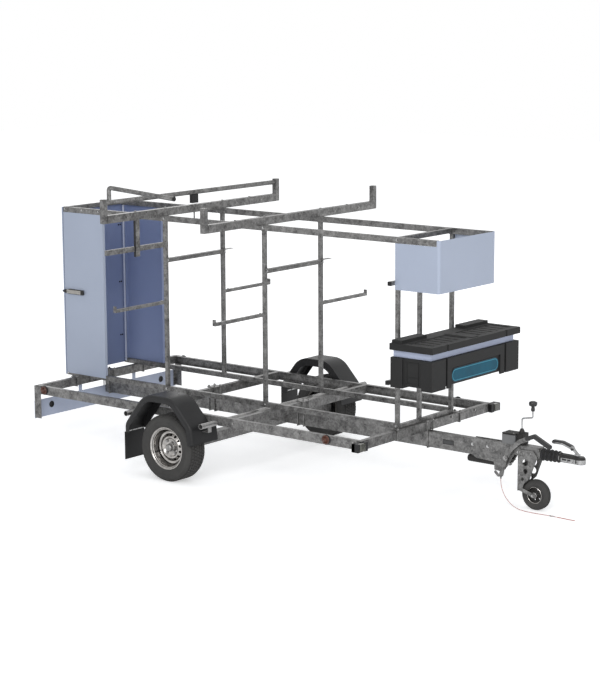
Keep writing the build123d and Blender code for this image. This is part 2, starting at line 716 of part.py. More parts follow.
def roller_pad():
    """The rubber pad fixed to the underside of the roller."""
    x = POST_X[1]
    top = ROLLER_Z - ROLLER_D / 2 + 1
    block = span(x - 15, x + 15, -PAD_W / 2, PAD_W / 2, ROLLER_Z - PAD_REACH, top)
    return block - rod_y(x, -PAD_W, PAD_W, ROLLER_Z, ROLLER_D / 2)


# ================================================================ toolbox
def toolbox_body():
    """The open box: corner pillars, and a front panel between two grooves with a sunk field for the sign."""
    x0 = BOX_REAR_X
    x1 = BOX_FRONT_X
    top = BOX_TOP
    low = BOX_BOTTOM + PANEL_RAISE
    proud = PILLAR_PROUD
    body = span(x0, x1 - proud, -BOX_HALF + proud, BOX_HALF - proud, low, top)
    body = body + span(x1 - proud, x1, -GROOVE_Y, GROOVE_Y, BOX_BOTTOM, top)
    body = body - span(x1 - proud, x1 + 1, -FIELD_HALF, FIELD_HALF, BOX_BOTTOM - 1, FIELD_TOP)
    for side in (-1, 1):
        y0 = side * (BOX_HALF - PILLAR_W)
        y1 = side * BOX_HALF
        body = body + span(x1 - PILLAR_D, x1, min(y0, y1), max(y0, y1), BOX_BOTTOM, top)
        body = body + span(x0, x0 + REAR_PILLAR_D, min(y0, y1), max(y0, y1), BOX_BOTTOM, top)
    inner = span(
        x0 + BOX_WALL, x1 - proud - BOX_WALL, -BOX_HALF + proud + BOX_WALL, BOX_HALF - proud - BOX_WALL,
        low + BOX_WALL, top - BOX_WALL
    )
    return body - inner - toolbox_mouth(top - BOX_WALL - 1, top + 1)


def toolbox_mouth(z0, z1):
    """The space inside the collar between two heights, which is also the box's and the lid's opening."""
    x0 = BOX_REAR_X + BOX_NECK_REAR + BOX_WALL
    x1 = BOX_FRONT_X - BOX_NECK_IN - BOX_WALL
    y = BOX_HALF - BOX_NECK_IN - BOX_WALL
    return span(x0, x1, -y, y, z0, z1)


def toolbox_neck():
    """The set-back collar between the box and its lid."""
    x0 = BOX_REAR_X + BOX_NECK_REAR
    x1 = BOX_FRONT_X - BOX_NECK_IN
    y = BOX_HALF - BOX_NECK_IN
    z0 = BOX_TOP
    z1 = z0 + BOX_NECK_H
    return span(x0, x1, -y, y, z0, z1) - toolbox_mouth(z0 - 1, z1 + 1)


def toolbox_lid():
    """The lid: a thick rim round the opening, two sunk trays on top, and two raised blocks along the rear."""
    x0 = BOX_REAR_X - LID_REAR
    x1 = BOX_FRONT_X + LID_OVER
    y = BOX_HALF + LID_OVER
    lid = span(x0, x1, -y, y, LID_Z, LID_TOP)
    for side in (-1, 1):
        tray = [side * edge for edge in LID_TRAY_Y]
        lid = lid - span(*LID_TRAY_X, min(tray), max(tray), LID_TOP - LID_TRAY_DEEP, LID_TOP + 1)
        block = [side * edge for edge in LID_BLOCK_Y]
        lid = lid + span(x0 + 8, x0 + LID_BLOCK_D, min(block), max(block), LID_TOP - 1, LID_TOP + LID_BLOCK_H)
        notch = [side * edge for edge in (GROOVE_Y, GROOVE_Y + GROOVE_W)]
        lid = lid - span(BOX_FRONT_X, x1 + 1, min(notch), max(notch), LID_Z - 1, LID_TOP + 1)
    return lid - toolbox_mouth(LID_Z - 1, LID_TOP - LID_TRAY_DEEP - LID_TOP_T)


def toolbox_brackets():
    """Four stand-offs that hold the toolbox to the front posts."""
    x0 = POST_X[3] + POST / 2
    pieces = []
    for z in (BOX_BOTTOM + 40, BOX_BOTTOM + 150):
        pieces += both_sides(span(x0, BOX_REAR_X, RACK_HALF - POST, RACK_HALF, z, z + POST))
    return pieces


def sign_plate():
    """The blank plate on the front of the toolbox."""
    x0 = BOX_FRONT_X - PILLAR_PROUD
    plate = span(x0, x0 + SIGN_T, -SIGN_HALF, SIGN_HALF, SIGN_BOTTOM, SIGN_BOTTOM + SIGN_H)
    return fillet(plate.edges().filter_by(Axis.X), SIGN_H / 2 - 1)


# ================================================================ rear board, lamps, mudguards
def rear_board():
    """The light board behind the rear beam, with its two hanger tabs and its end plates."""
    x1 = REAR_BEAM_X - BEAM_D / 2
    x0 = x1 - SHEET
    top = BOARD_BOTTOM + BOARD_H
    tab = SPINE_TOP + 30
    near, far = TAB_Y
    outline = [
        (-BOARD_HALF, BOARD_BOTTOM), (BOARD_HALF, BOARD_BOTTOM), (BOARD_HALF, top), (far, top), (far, tab),
        (near, tab), (near, top), (-near, top), (-near, tab), (-far, tab), (-far, top), (-BOARD_HALF, top),
    ]
    face = make_face(Polyline(*[(x0, y, z) for y, z in outline], close=True))
    board = extrude(face, amount=SHEET, dir=(1, 0, 0))
    for y, z in BOARD_HOLES:
        board = board - rod_x(x0 - 1, x1 + 1, y, z, BOARD_HOLE_R)
    for side in (-1, 1):
        y0 = side * (BOARD_HALF - 4)
        y1 = side * BOARD_HALF
        board = board + span(x1, x1 + BOARD_PLATE_D, min(y0, y1), max(y0, y1), BOARD_BOTTOM + 8, BEAM_TOP)
        y1 = side * CHASSIS_HALF
        board = board + span(x1 + 8, x1 + 52, min(y0, y1), max(y0, y1), SPINE_TOP + 8, BEAM_TOP - 8)
    return board


def rear_lamps():
    """Two lamp clusters on the back of the board."""
    x0 = REAR_BEAM_X - BEAM_D / 2 - SHEET
    lamp = span(x0 - REAR_LAMP_D, x0, *REAR_LAMP_Y, BOARD_BOTTOM + 14, BOARD_BOTTOM + BOARD_H - 8)
    lamp = lamp - rod_x(x0 - REAR_LAMP_D - 1, x0 + 1, *BOARD_HOLES[2], BOARD_HOLE_R + 2)
    return both_sides(lamp)


def side_lamps():
    """Round orange lamps on the outer rails."""
    lamps = []
    for x in SIDE_LAMP_X:
        lamp = rod_y(x, CHASSIS_HALF, CHASSIS_HALF + SIDE_LAMP_H, BEAM_TOP - 30, SIDE_LAMP_R)
        lamps += both_sides(fillet(lamp.edges().group_by(Axis.Y)[-1], 8))
    return lamps


def front_lamps():
    """Marker lamps round the front corners of the chassis."""
    x1 = FRONT_BEAM_X + BEAM_D / 2
    lamp = span(x1, x1 + 40, CHASSIS_HALF - 95, CHASSIS_HALF + 14, SPINE_TOP - 2, BEAM_TOP - 4)
    lamp = fillet(lamp.edges().filter_by(Axis.Z), 12)
    return both_sides(lamp)


def guard_line(inset=0.0):
    """The guard's profile in the XZ plane, as a smooth line, moved inwards by `inset`."""
    (x0, z0), (x1, z1), (x2, z2), (x3, z3), (x4, z4), (x5, z5) = GUARD_ROUTE
    points = [
        (x0 + inset, z0), (x1 + inset, z1 - inset / 3), (x2 + inset / 2, z2 - inset),
        (x3 - inset / 2, z3 - inset), (x4 - inset, z4 - inset / 3), (x5 - inset, z5),
    ]
    return FilletPolyline(*[(x, 0, z) for x, z in points], radius=list(GUARD_BENDS))


def guard_wall(width, y0, y1, inset=0.0):
    """A wall of even thickness along the guard's profile, between two Y levels."""
    line = guard_line(inset)
    normal = Vector(0, 1, 0)
    half = width / 2
    outer = []
    inner = []
    steps = 60
    for i in range(steps + 1):
        point = line @ (i / steps)
        side = (line % (i / steps)).cross(normal) * half
        outer.append(point + side)
        inner.append(point - side)
    outline = Polyline(*outer, *reversed(inner), close=True)
    return Pos(0, y0, 0) * extrude(make_face(outline), amount=y1 - y0, dir=(0, 1, 0))


def mudguard():
    """The left mudguard: an arch over the wheel with a lip on its outer edge and a skirt under the rail."""
    y0 = CHASSIS_HALF + 5
    guard = guard_wall(GUARD_T, y0, GUARD_HALF)
    lip = guard_wall(GUARD_LIP, GUARD_HALF - GUARD_T, GUARD_HALF, GUARD_LIP / 2 - GUARD_T / 2)
    skirt = guard_wall(GUARD_T, y0 - GUARD_SKIRT, y0)
    skirt = skirt - span(-900, 150, y0 - GUARD_SKIRT - 1, y0 + 1, 0, 900)
    skirt = skirt - span(100, 900, y0 - GUARD_SKIRT - 1, y0 + 1, SPINE_TOP - 7, 900)
    return guard + lip + skirt


# ================================================================ front gear
def strip_xz(points, width, y0, y1):
    """A flat strip of even width along a route of (x, z) points, with round corners."""
    strip = rod_y(points[0][0], y0, y1, points[0][1], width / 2)
    for (x0, z0), (x1, z1) in zip(points, points[1:]):
        length = math.hypot(x1 - x0, z1 - z0)
        angle = math.degrees(math.atan2(z1 - z0, x1 - x0))
        run = Pos(length / 2, 0, 0) * Box(length, abs(y1 - y0), width)
        run = Pos(x0, (y0 + y1) / 2, z0) * Rot(0, -angle, 0) * run
        strip = strip + run + rod_y(x1, y0, y1, z1, width / 2)
    return strip


def overrun_housing():
    """The overrun housing: cheeks beside the spine and a bored block in front, with the jockey pivots."""
    front = HOUSING_FRONT_X
    outline = [
        (HOUSING_REAR_X, 352), (HOUSING_REAR_X + 50, 322), (2480, 312), (2530, HOUSING_LOW),
        (front, HOUSING_LOW), (front, HOUSING_TOP), (HOUSING_REAR_X, HOUSING_TOP - 4),
    ]
    cheek = plate_xz(outline, SPINE_W / 2, HOUSING_HALF)
    block = span(SPINE_FRONT_X + 20, front, -HOUSING_HALF, HOUSING_HALF, HOUSING_LOW, HOUSING_TOP)
    housing = block + cheek + mirror(cheek, about=Plane.XZ)
    housing = housing - rod_x(SPINE_FRONT_X, front + 1, 0, SHAFT_Z, SHAFT_D / 2 + PIN_GAP)
    for side in (-1, 1):
        seat_y = side * (FORK_IN + FORK_T + SEAT_GAP)
        end_y = side * (FORK_IN + FORK_T + 6)
        pin = rod_y(JOCKEY_PIVOT_X, side * HOUSING_HALF, end_y, JOCKEY_PIVOT_Z, PIVOT_R)
        head = rod_y(JOCKEY_PIVOT_X, seat_y, end_y, JOCKEY_PIVOT_Z, PIVOT_R + 5)
        housing = housing + pin + head
    boss = rod_y(2480, LEVER_Y, -HOUSING_HALF, 378, 16)
    return housing + boss


def damper():
    """The overrun damper under the spine, with its rod and front eye."""
    z = SPINE_BOTTOM - DAMPER_D / 2 - 6
    body = rod_x(2110, 2376, 0, z, DAMPER_D / 2)
    rod = rod_x(2376, 2450, 0, z, 9)
    eye = rod_y(2458, -SPINE_W / 2, SPINE_W / 2, z, 14)
    strap = span(2140, 2170, -20, 20, z, SPINE_BOTTOM)
    return body + rod + eye + strap


def winch_box():
    """The grey gear case on top of the housing."""
    case = span(2430, 2545, -50, 50, HOUSING_TOP, 552)
    return fillet(case.edges().filter_by(Axis.Z), 8)


def crank():
    """The winding crank: base, spindle, arm and knob."""
    arm_x = CRANK_X + 91
    base = span(2550, 2602, -34, 52, HOUSING_TOP, 556)
    cone = Pos(CRANK_X, 0, 572) * Cone(21, 10, 32)
    path = FilletPolyline((CRANK_X, 0, 586), (CRANK_X, 0, 668), (arm_x, 0, 680), (arm_x, 0, 724), radius=16)
    arm = sweep(Plane(origin=path @ 0, z_dir=path % 0) * Circle(6), path=path)
    sleeve = rod_z(arm_x, 0, 722, CRANK_TOP - KNOB_H, 15)
    knob = Pos(arm_x, 0, CRANK_TOP - KNOB_H / 2) * Cylinder(KNOB_R, KNOB_H)
    knob = fillet(knob.edges().filter_by(GeomType.CIRCLE), 12)
    return base + cone + arm + sleeve + knob


def brake_lever():
    """The handbrake lever: a flat arm that ends in a hook with the cable's eyelet."""
    y1 = LEVER_Y
    y0 = LEVER_Y - LEVER_T
    arm = strip_xz(LEVER_ROUTE, 34, y0, y1)
    hook = strip_xz([(2389, 249), (2412, 226), (2440, 230)], 20, y0, y1)
    eyelet = rod_z(CABLE[0][0], CABLE[0][1], CABLE[0][2], CABLE[0][2] + 18, 6)
    return arm + hook + eyelet


def brake_grip():
    """The moulded grip of the handbrake lever."""
    y1 = LEVER_Y + 8
    y0 = LEVER_Y - LEVER_T - 8
    grip = strip_xz(GRIP_ROUTE, 32, y0, y1)
    slot = strip_xz(LEVER_ROUTE[3:], 34, LEVER_Y - LEVER_T, LEVER_Y)
    return grip - slot


def bellows():
    """The rubber bellows between the housing and the coupling head."""
    x0 = HOUSING_FRONT_X
    count = 7
    pitch = (BELLOWS_FRONT_X - x0) / count
    inner = SHAFT_D / 2 + PIN_GAP
    profile = [(x0, inner)]
    for i in range(count):
        profile += [(x0 + i * pitch, BELLOWS_R - 9), (x0 + (i + 0.5) * pitch, BELLOWS_R)]
    profile += [(BELLOWS_FRONT_X, BELLOWS_R - 9), (BELLOWS_FRONT_X, inner)]
    outline = Polyline(*[(x, r, 0) for x, r in profile], close=True)
    return Pos(0, 0, SHAFT_Z) * revolve(make_face(outline), axis=Axis.X)


def coupling_head():
    """The draw shaft with the ball coupling head on its front end."""
    ball_x = TIP_X - BALL_R - HEAD_WALL
    shaft = rod_x(SPINE_FRONT_X + 22, ball_x - 80, 0, SHAFT_Z, SHAFT_D / 2)
    z0 = SHAFT_Z - SHAFT_D / 2 - 7
    z1 = SHAFT_Z + SHAFT_D / 2 + 7
    sleeve = span(BELLOWS_FRONT_X, ball_x, -32, 32, z0, z1)
    nose = rod_z(ball_x, 0, z0, z1 - 4, BALL_R + HEAD_WALL)
    head = sleeve + nose + shaft
    head = head - rod_z(ball_x, 0, z0 - 1, BALL_Z, BALL_R)
    return head - Pos(ball_x, 0, BALL_Z) * Sphere(BALL_R)


def coupling_handle():
    """The release handle on top of the coupling head."""
    top = SHAFT_Z + SHAFT_D / 2 + 7
    rear, bend, knee, toe = [TIP_X - back for back in HANDLE_BACK]
    grip = strip_xz([(rear, HANDLE_Z), (bend, HANDLE_Z), (knee, HANDLE_KNEE_Z)], HANDLE_W, -16, 16)
    leg = strip_xz([(knee, HANDLE_KNEE_Z), (toe, top + 8)], 16, -10, 10)
    foot = span(toe - 18, toe + 16, -16, 16, top, top + 10)
    return grip + leg + foot


def jockey_frame():
    """The perforated swing frame of the jockey wheel with its fork arms and axle."""
    rear = JOCKEY_PIVOT_X - 28
    centre_z = JOCKEY_D / 2
    outline = [
        (rear, 446), (2702, 446), (2738, 402), (2676, 236), (2632, 196), (2604, 140), (rear, 132),
    ]
    plate = plate_xz(outline, FORK_IN, FORK_IN + FORK_T)
    for x, z, radius in ((2636, 352, 24), (2638, 286, 18), (2614, 226, 13)):
        plate = plate - rod_y(x, FORK_IN - 1, FORK_IN + FORK_T + 1, z, radius)
    plate = plate + strip_xz([(rear + 16, 150), (JOCKEY_X, centre_z)], 28, FORK_IN, FORK_IN + FORK_T)
    plate = plate - rod_y(JOCKEY_PIVOT_X, FORK_IN - 1, FORK_IN + FORK_T + 1, JOCKEY_PIVOT_Z, PIVOT_R + PIN_GAP)
    web = span(rear, rear + 5, -FORK_IN, FORK_IN, 132, 330)
    axle_pin = rod_y(JOCKEY_X, -FORK_IN - FORK_T - 5, FORK_IN + FORK_T + 5, centre_z, 10)
    return plate + mirror(plate, about=Plane.XZ) + web + axle_pin


def jockey_tyre():
    """The solid tyre of the jockey wheel."""
    half = JOCKEY_W / 2
    bore = JOCKEY_RIM_D / 2
    top = JOCKEY_D / 2
    profile = [(bore, -half + 8), (top - 30, -half), (top - 8, -half + 10), (top, -half + 24)]
    profile += [(r, -y) for r, y in reversed(profile)]
    return Pos(JOCKEY_X, 0, top) * turned_y(profile, 0)


def jockey_rim():
    """The jockey wheel's rim with its web and hub."""
    half = JOCKEY_W / 2 - 8
    top = JOCKEY_RIM_D / 2
    profile = [
        (10 + PIN_GAP, -JOCKEY_W / 2), (22, -JOCKEY_W / 2), (22, -5), (top - 8, -5), (top - 8, -half),
        (top, -half), (top, half), (top - 8, half), (top - 8, 5), (22, 5), (22, JOCKEY_W / 2),
        (10 + PIN_GAP, JOCKEY_W / 2),
    ]
    return Pos(JOCKEY_X, 0, JOCKEY_D / 2) * turned_y(profile, 0)


# ================================================================ breakaway cable
def cable():
    """The cable from the brake lever down to the ground: straight runs joined by wide arcs."""
    radii = []
    for a, b, c in zip(CABLE, CABLE[1:], CABLE[2:]):
        first = Vector(*b) - Vector(*a)
        second = Vector(*c) - Vector(*b)
        turn = math.radians(first.get_angle(second))
        radii.append(0.45 * min(first.length, second.length) / math.tan(turn / 2))
    print("cable radii", [round(r) for r in radii])
    path = FilletPolyline(*CABLE, radius=radii)
    start = Plane(origin=path @ 0, z_dir=path % 0)
    tube = sweep(start * Circle(CABLE_D / 2), path=path)
    section = math.pi * CABLE_D ** 2 / 4
    print("cable length", round(path.length), "volume over section", round(tube.volume / section))
    return tube


def cable_clip():
    """The snap hook round the lying cable: a flat loop between two ferrules."""
    x0, y, z = CABLE[CLIP_FROM]
    x1 = CABLE[CLIP_FROM + 1][0]
    rear = (x0 + x1 - CLIP_L) / 2
    front = rear + CLIP_L
    wire = CLIP_WIRE
    outer = span(rear, front, y - CLIP_HALF, y + CLIP_HALF, z - wire / 2, z + wire / 2)
    outer = fillet(outer.edges().filter_by(Axis.Z), CLIP_HALF - 2)
    inner = span(rear + wire, front - wire, y - CLIP_HALF + wire, y + CLIP_HALF - wire, z - wire, z + wire)
    inner = fillet(inner.edges().filter_by(Axis.Z), CLIP_HALF - wire - 2)
    clip = outer - inner
    for x in (rear, front):
        clip = clip + rod_x(x - FERRULE_L / 2, x + FERRULE_L / 2, y, z, FERRULE_R)
    return clip - rod_x(rear - FERRULE_L, front + FERRULE_L, y, z, CABLE_D / 2 + CLIP_GAP)


# ================================================================ sub-parts
write("spine", spine())
write("cross_beams", *cross_beams())
write("side_rails", *both_sides(side_rail()))
write("guard_tubes", *guard_tubes())
write("clamps", *spine_clamps(), *rack_clamps())
write("axle", axle())
for name, side in (("right", -1), ("left", 1)):
    write(f"tyre_{name}", tyre(side))
    write(f"rim_{name}", rim(side))
    write(f"brake_drum_{name}", hub(side))
write("rack_posts", *[post(x, side) for x in POST_X for side in (-1, 1)], centre_post())
write("low_rails", *low_rails())
write("top_rails", *top_rails())
write("rack_laterals", *rack_laterals())
write("angle_bars", *angle_bars())
write("front_bars", *front_bars(), *toolbox_brackets())
write("bar_caps", *bar_caps())
write("side_arms", *side_arms())
write("hanger", *hanger())
write("cabinet_sides", cabinet_side(-1), cabinet_side(1))
write("rear_door", rear_door())
write("door_hinges", *door_hinges())
write("door_latch", door_latch())
write("front_fairing", front_fairing())
write("roof_beams", *roof_beams())
write("clamp_roller", clamp_roller())
write("roller_pad", roller_pad())
write("toolbox_body", toolbox_body())
write("toolbox_neck", toolbox_neck())
write("toolbox_lid", toolbox_lid())
write("sign_plate", sign_plate())
write("rear_board", rear_board())
write("rear_lamps", *rear_lamps())
write("side_lamps", *side_lamps())
write("front_lamps", *front_lamps())
write("mudguards", *both_sides(mudguard()))
write("overrun_housing", overrun_housing())
write("damper", damper())
write("winch_box", winch_box())
write("crank", crank())
write("brake_lever", brake_lever())
write("brake_grip", brake_grip())
write("bellows", bellows())
write("coupling_head", coupling_head())
write("coupling_handle", coupling_handle())
write("jockey_frame", jockey_frame())
write("jockey_tyre", jockey_tyre())
write("jockey_rim", jockey_rim())
write("cable", cable())
write("cable_clip", cable_clip())
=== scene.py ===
"""Looks of a single-axle scaffolding trailer: galvanised rack and chassis, cabinet, toolbox and running gear.

Everything is in metres, with +X towards the coupling, +Y to the trailer's left and +Z up. Most places come
from the CAD nodes' boxes, and each sub-assembly has a class of its own.
"""

import logging
import math
from dataclasses import dataclass, field
from enum import Enum
from typing import Callable, Iterable, Sequence

import bmesh
import bpy
from mathutils import Matrix, Vector


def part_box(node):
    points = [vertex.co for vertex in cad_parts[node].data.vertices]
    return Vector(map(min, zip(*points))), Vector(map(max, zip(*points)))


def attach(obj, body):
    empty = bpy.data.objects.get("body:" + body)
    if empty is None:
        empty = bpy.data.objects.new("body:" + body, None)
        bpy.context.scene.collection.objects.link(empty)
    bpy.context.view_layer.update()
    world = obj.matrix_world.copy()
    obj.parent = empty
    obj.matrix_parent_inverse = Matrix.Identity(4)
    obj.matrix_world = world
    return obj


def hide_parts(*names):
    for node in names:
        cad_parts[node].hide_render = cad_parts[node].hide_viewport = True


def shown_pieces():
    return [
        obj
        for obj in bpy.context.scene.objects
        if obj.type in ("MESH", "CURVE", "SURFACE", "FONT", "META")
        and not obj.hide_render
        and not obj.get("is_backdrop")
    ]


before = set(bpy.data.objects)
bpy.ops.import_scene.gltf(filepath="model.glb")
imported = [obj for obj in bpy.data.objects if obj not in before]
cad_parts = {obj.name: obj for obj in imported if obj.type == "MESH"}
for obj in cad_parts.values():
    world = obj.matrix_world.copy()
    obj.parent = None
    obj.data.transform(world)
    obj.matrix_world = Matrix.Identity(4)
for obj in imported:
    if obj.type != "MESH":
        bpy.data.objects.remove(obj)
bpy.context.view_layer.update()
log = logging.getLogger("trailer")
Point = tuple[float, float, float]
Flat = tuple[float, float]
Socket = bpy.types.NodeSocket
MM = 0.001


class Pattern(Enum):
    """The fine relief that a finish carries."""

    PLAIN = "plain"
    SPANGLE = "spangle"
    GRAIN = "grain"
    PEEL = "peel"
    BRUSHED = "brushed"


class Side(Enum):
    """The two sides of the trailer, as the sign of Y."""

    RIGHT = -1
    LEFT = 1

    @property
    def word(self) -> str:
        """The side's name as the nodes use it."""
        return self.name.lower()


# ---------------------------------------------------------------- node trees and finishes
class Nodes:
    """A node tree, with short calls that add and wire its nodes."""

    def __init__(self, tree: bpy.types.NodeTree) -> None:
        """Wraps a tree."""
        self.tree = tree

    def add(self, kind: str, **settings: object) -> bpy.types.Node:
        """Adds a node and sets its fields.

        Args:
            kind: The node's type name.
            settings: Values for the node's own fields.

        Returns:
            The new node.
        """
        node = self.tree.nodes.new(kind)
        for key, value in settings.items():
            setattr(node, key, value)
        return node

    def wire(self, source: Socket, target: Socket) -> None:
        """Joins an output to an input."""
        self.tree.links.new(source, target)

    def maths(self, kind: str, first: Socket, second: Socket | float) -> Socket:
        """The result of one calculation.

        Args:
            kind: The operation, such as MULTIPLY.
            first: The first value.
            second: The second value, a socket or a number.

        Returns:
            The result.
        """
        node = self.add("ShaderNodeMath", operation=kind)
        self.wire(first, node.inputs[0])
        if isinstance(second, float):
            node.inputs[1].default_value = second
        else:
            self.wire(second, node.inputs[1])
        return node.outputs[0]

    def seen(self) -> Socket:
        """1 on rays from the camera, straight or through gloss or glass, and 0 on the rest."""
        path = self.add("ShaderNodeLightPath").outputs
        seen = self.maths("MAXIMUM", path["Is Camera Ray"], path["Is Transmission Ray"])
        return self.maths("MAXIMUM", seen, path["Is Glossy Ray"])


class NodeSheet(Nodes):
    """A material's node tree."""

    def __init__(self, name: str) -> None:
        """Starts a material with its shader.

        Args:
            name: The material's name.
        """
        self.material = bpy.data.materials.new(name)
        self.material.use_nodes = True
        super().__init__(self.material.node_tree)
        self.shader = self.tree.nodes["Principled BSDF"]
        self.place = self.add("ShaderNodeTexCoord").outputs["Object"]

    def put(self, **values: object) -> None:
        """Sets inputs of the shader, with an underscore for each blank in their names."""
        for name, value in values.items():
            self.shader.inputs[name.replace("_", " ")].default_value = value

    def stretched(self, scale: Point) -> Socket:
        """The object's coordinates, stretched.

        Args:
            scale: The factor on each axis.

        Returns:
            The coordinates.
        """
        mapping = self.add("ShaderNodeMapping")
        mapping.inputs["Scale"].default_value = scale
        self.wire(self.place, mapping.inputs["Vector"])
        return mapping.outputs["Vector"]

    def noise(self, scale: float, detail: float = 3.0, place: Socket | None = None) -> Socket:
        """A noise value over the surface.

        Args:
            scale: Waves per metre.
            detail: How many finer layers it has.
            place: The coordinates it reads, or None for the object's.

        Returns:
            The value from 0 to 1.
        """
        node = self.add("ShaderNodeTexNoise")
        node.inputs["Scale"].default_value = scale
        node.inputs["Detail"].default_value = detail
        self.wire(place or self.place, node.inputs["Vector"])
        return node.outputs["Fac"]

    def cells(self, scale: float) -> Socket:
        """A random value for each crystal of a pattern.

        Args:
            scale: Cells per metre.

        Returns:
            The value from 0 to 1.
        """
        node = self.add("ShaderNodeTexVoronoi", feature="F1")
        node.inputs["Scale"].default_value = scale
        self.wire(self.place, node.inputs["Vector"])
        split = self.add("ShaderNodeSeparateColor")
        self.wire(node.outputs["Color"], split.inputs["Color"])
        return split.outputs["Red"]

    def spread(self, value: Socket, ends: Flat, source: Flat = (0.0, 1.0)) -> Socket:
        """A value mapped from one range to another.

        Args:
            value: The value.
            ends: The range it is mapped to.
            source: The range it comes from.

        Returns:
            The mapped value.
        """
        node = self.add("ShaderNodeMapRange")
        for name, number in zip(("From Min", "From Max", "To Min", "To Max"), (*source, *ends)):
            node.inputs[name].default_value = number
        self.wire(value, node.inputs["Value"])
        return node.outputs["Result"]

    def ramp(self, value: Socket, *stops: tuple[float, Point]) -> Socket:
        """A colour ramp over a value.

        Args:
            value: The value from 0 to 1.
            stops: Two places and their linear colours.

        Returns:
            The colour.
        """
        node = self.add("ShaderNodeValToRGB")
        for point, (spot, colour) in zip(node.color_ramp.elements, stops):
            point.position = spot
            point.color = (*colour, 1.0)
        self.wire(value, node.inputs["Fac"])
        return node.outputs["Color"]

    def bump(self, height: Socket, depth: float, strength: float = 1.0) -> None:
        """Feeds a height to the shader's normal.

        Args:
            height: The height from 0 to 1.
            depth: How deep 1 is, in metres.
            strength: The bump's share.
        """
        node = self.add("ShaderNodeBump")
        node.inputs["Strength"].default_value = strength
        node.inputs["Distance"].default_value = depth
        self.wire(height, node.inputs["Height"])
        self.wire(node.outputs["Normal"], self.shader.inputs["Normal"])


@dataclass(frozen=True)
class Finish:
    """One surface finish.

    The colour runs from `dark` to `light` over a soft cloud of `cloud` waves per metre, and `pattern` adds
    the fine relief, `fine` waves per metre and `depth` metres deep. The roughness follows the cloud by
    `spread` to each side. Galvanised metal mixes in crystals by the share `flakes`.
    """

    name: str
    dark: Point
    light: Point
    roughness: float = 0.5
    metallic: float = 0.0
    cloud: float = 6.0
    pattern: Pattern = Pattern.GRAIN
    fine: float = 900.0
    depth: float = 0.0002
    coat: float = 0.0
    specular: float = 0.5
    spread: float = 0.08
    flakes: float = 0.24
    coat_roughness: float = 0.12

    def make(self) -> bpy.types.Material:
        """Builds the material, ready for a slot."""
        sheet = NodeSheet(self.name)
        inputs = sheet.shader.inputs
        sheet.put(Metallic=self.metallic, Coat_Weight=self.coat, Coat_Roughness=self.coat_roughness)
        sheet.put(Specular_IOR_Level=self.specular)
        value = sheet.noise(self.cloud, 4.0)
        if self.pattern is Pattern.SPANGLE:
            crystals = sheet.maths("MULTIPLY", sheet.cells(self.fine), self.flakes)
            value = sheet.maths("ADD", sheet.maths("MULTIPLY", value, 1.0 - self.flakes), crystals)
        sheet.wire(sheet.ramp(value, (0.25, self.dark), (0.75, self.light)), inputs["Base Color"])
        ends = (max(0.03, self.roughness - self.spread), min(1.0, self.roughness + self.spread))
        sheet.wire(sheet.spread(value, ends), inputs["Roughness"])
        self.relief(sheet)
        return sheet.material

    def relief(self, sheet: NodeSheet) -> None:
        """Adds the fine relief of the pattern.

        Args:
            sheet: The material's tree.
        """
        if self.pattern is Pattern.SPANGLE:
            sheet.bump(sheet.noise(self.fine * 2.0, 3.0), self.depth)
        elif self.pattern is Pattern.BRUSHED:
            sheet.bump(sheet.noise(self.fine, 2.0, sheet.stretched((0.04, 1.0, 1.0))), self.depth)
        elif self.pattern is Pattern.PEEL:
            sheet.bump(sheet.noise(self.fine, 1.0), self.depth, 0.5)
        elif self.pattern is Pattern.GRAIN:
            sheet.bump(sheet.noise(self.fine, 4.0), self.depth)


class Palette:
    """Makes each finish's material once and hands it out."""

    def __init__(self) -> None:
        """Starts with no material made."""
        self.made: dict[str, bpy.types.Material] = {}

    def of(self, finish: Finish) -> bpy.types.Material:
        """The material of a finish, made on first use."""
        if finish.name not in self.made:
            self.made[finish.name] = finish.make()
        return self.made[finish.name]

    def dress(self, piece: bpy.types.Object, finish: Finish) -> None:
        """Gives a piece one finish all over."""
        piece.data.materials.clear()
        piece.data.materials.append(self.of(finish))


PALETTE = Palette()
SPANGLE, GRAIN, PEEL, BRUSHED, PLAIN = (
    Pattern.SPANGLE, Pattern.GRAIN, Pattern.PEEL, Pattern.BRUSHED, Pattern.PLAIN
)
GALVANISED = Finish(
    "galvanised", (0.062, 0.061, 0.060), (0.276, 0.272, 0.267), 0.42, 0.5, 17.0, SPANGLE, 75.0, 0.0003,
    specular=0.4,
)
BRIGHT_ZINC = Finish(
    "bright_zinc", (0.17, 0.168, 0.165), (0.40, 0.395, 0.39), 0.34, 0.8, 22.0, SPANGLE, 110.0
)
SHEET_BLUE = Finish(
    "sheet_blue", (0.385, 0.435, 0.545), (0.425, 0.478, 0.592), 0.42, 0.0, 1.6, PEEL, 700.0, 0.0001
)
# The panel blue darkened for the cabinet's inner faces: painted shade of the enclosed inside, not a paint of
# its own.
INNER_SHADE_BLUE = Finish(
    "inner_painted_shade", (0.190, 0.237, 0.405), (0.248, 0.300, 0.475), 0.45, 0.0, 1.2, PEEL, 700.0, 0.0001
)
BOARD_BLUE = Finish("board_blue", (0.42, 0.47, 0.60), (0.47, 0.52, 0.65), 0.46, 0.0, 2.4, PEEL, 600.0, 0.0001)
TYRE_RUBBER = Finish(
    "tyre_rubber", (0.052, 0.051, 0.050), (0.078, 0.076, 0.073), 0.85, 0.0, 9.0, GRAIN, 700.0, specular=0.2
)
SOFT_RUBBER = Finish(
    "soft_rubber", (0.010, 0.010, 0.011), (0.022, 0.022, 0.023), 0.6, 0.0, 20.0, specular=0.3
)
WHEEL_SILVER = Finish(
    "wheel_silver", (0.24, 0.23, 0.22), (0.52, 0.50, 0.48), 0.2, 0.95, 26.0, PEEL, 500.0, 0.0001
)
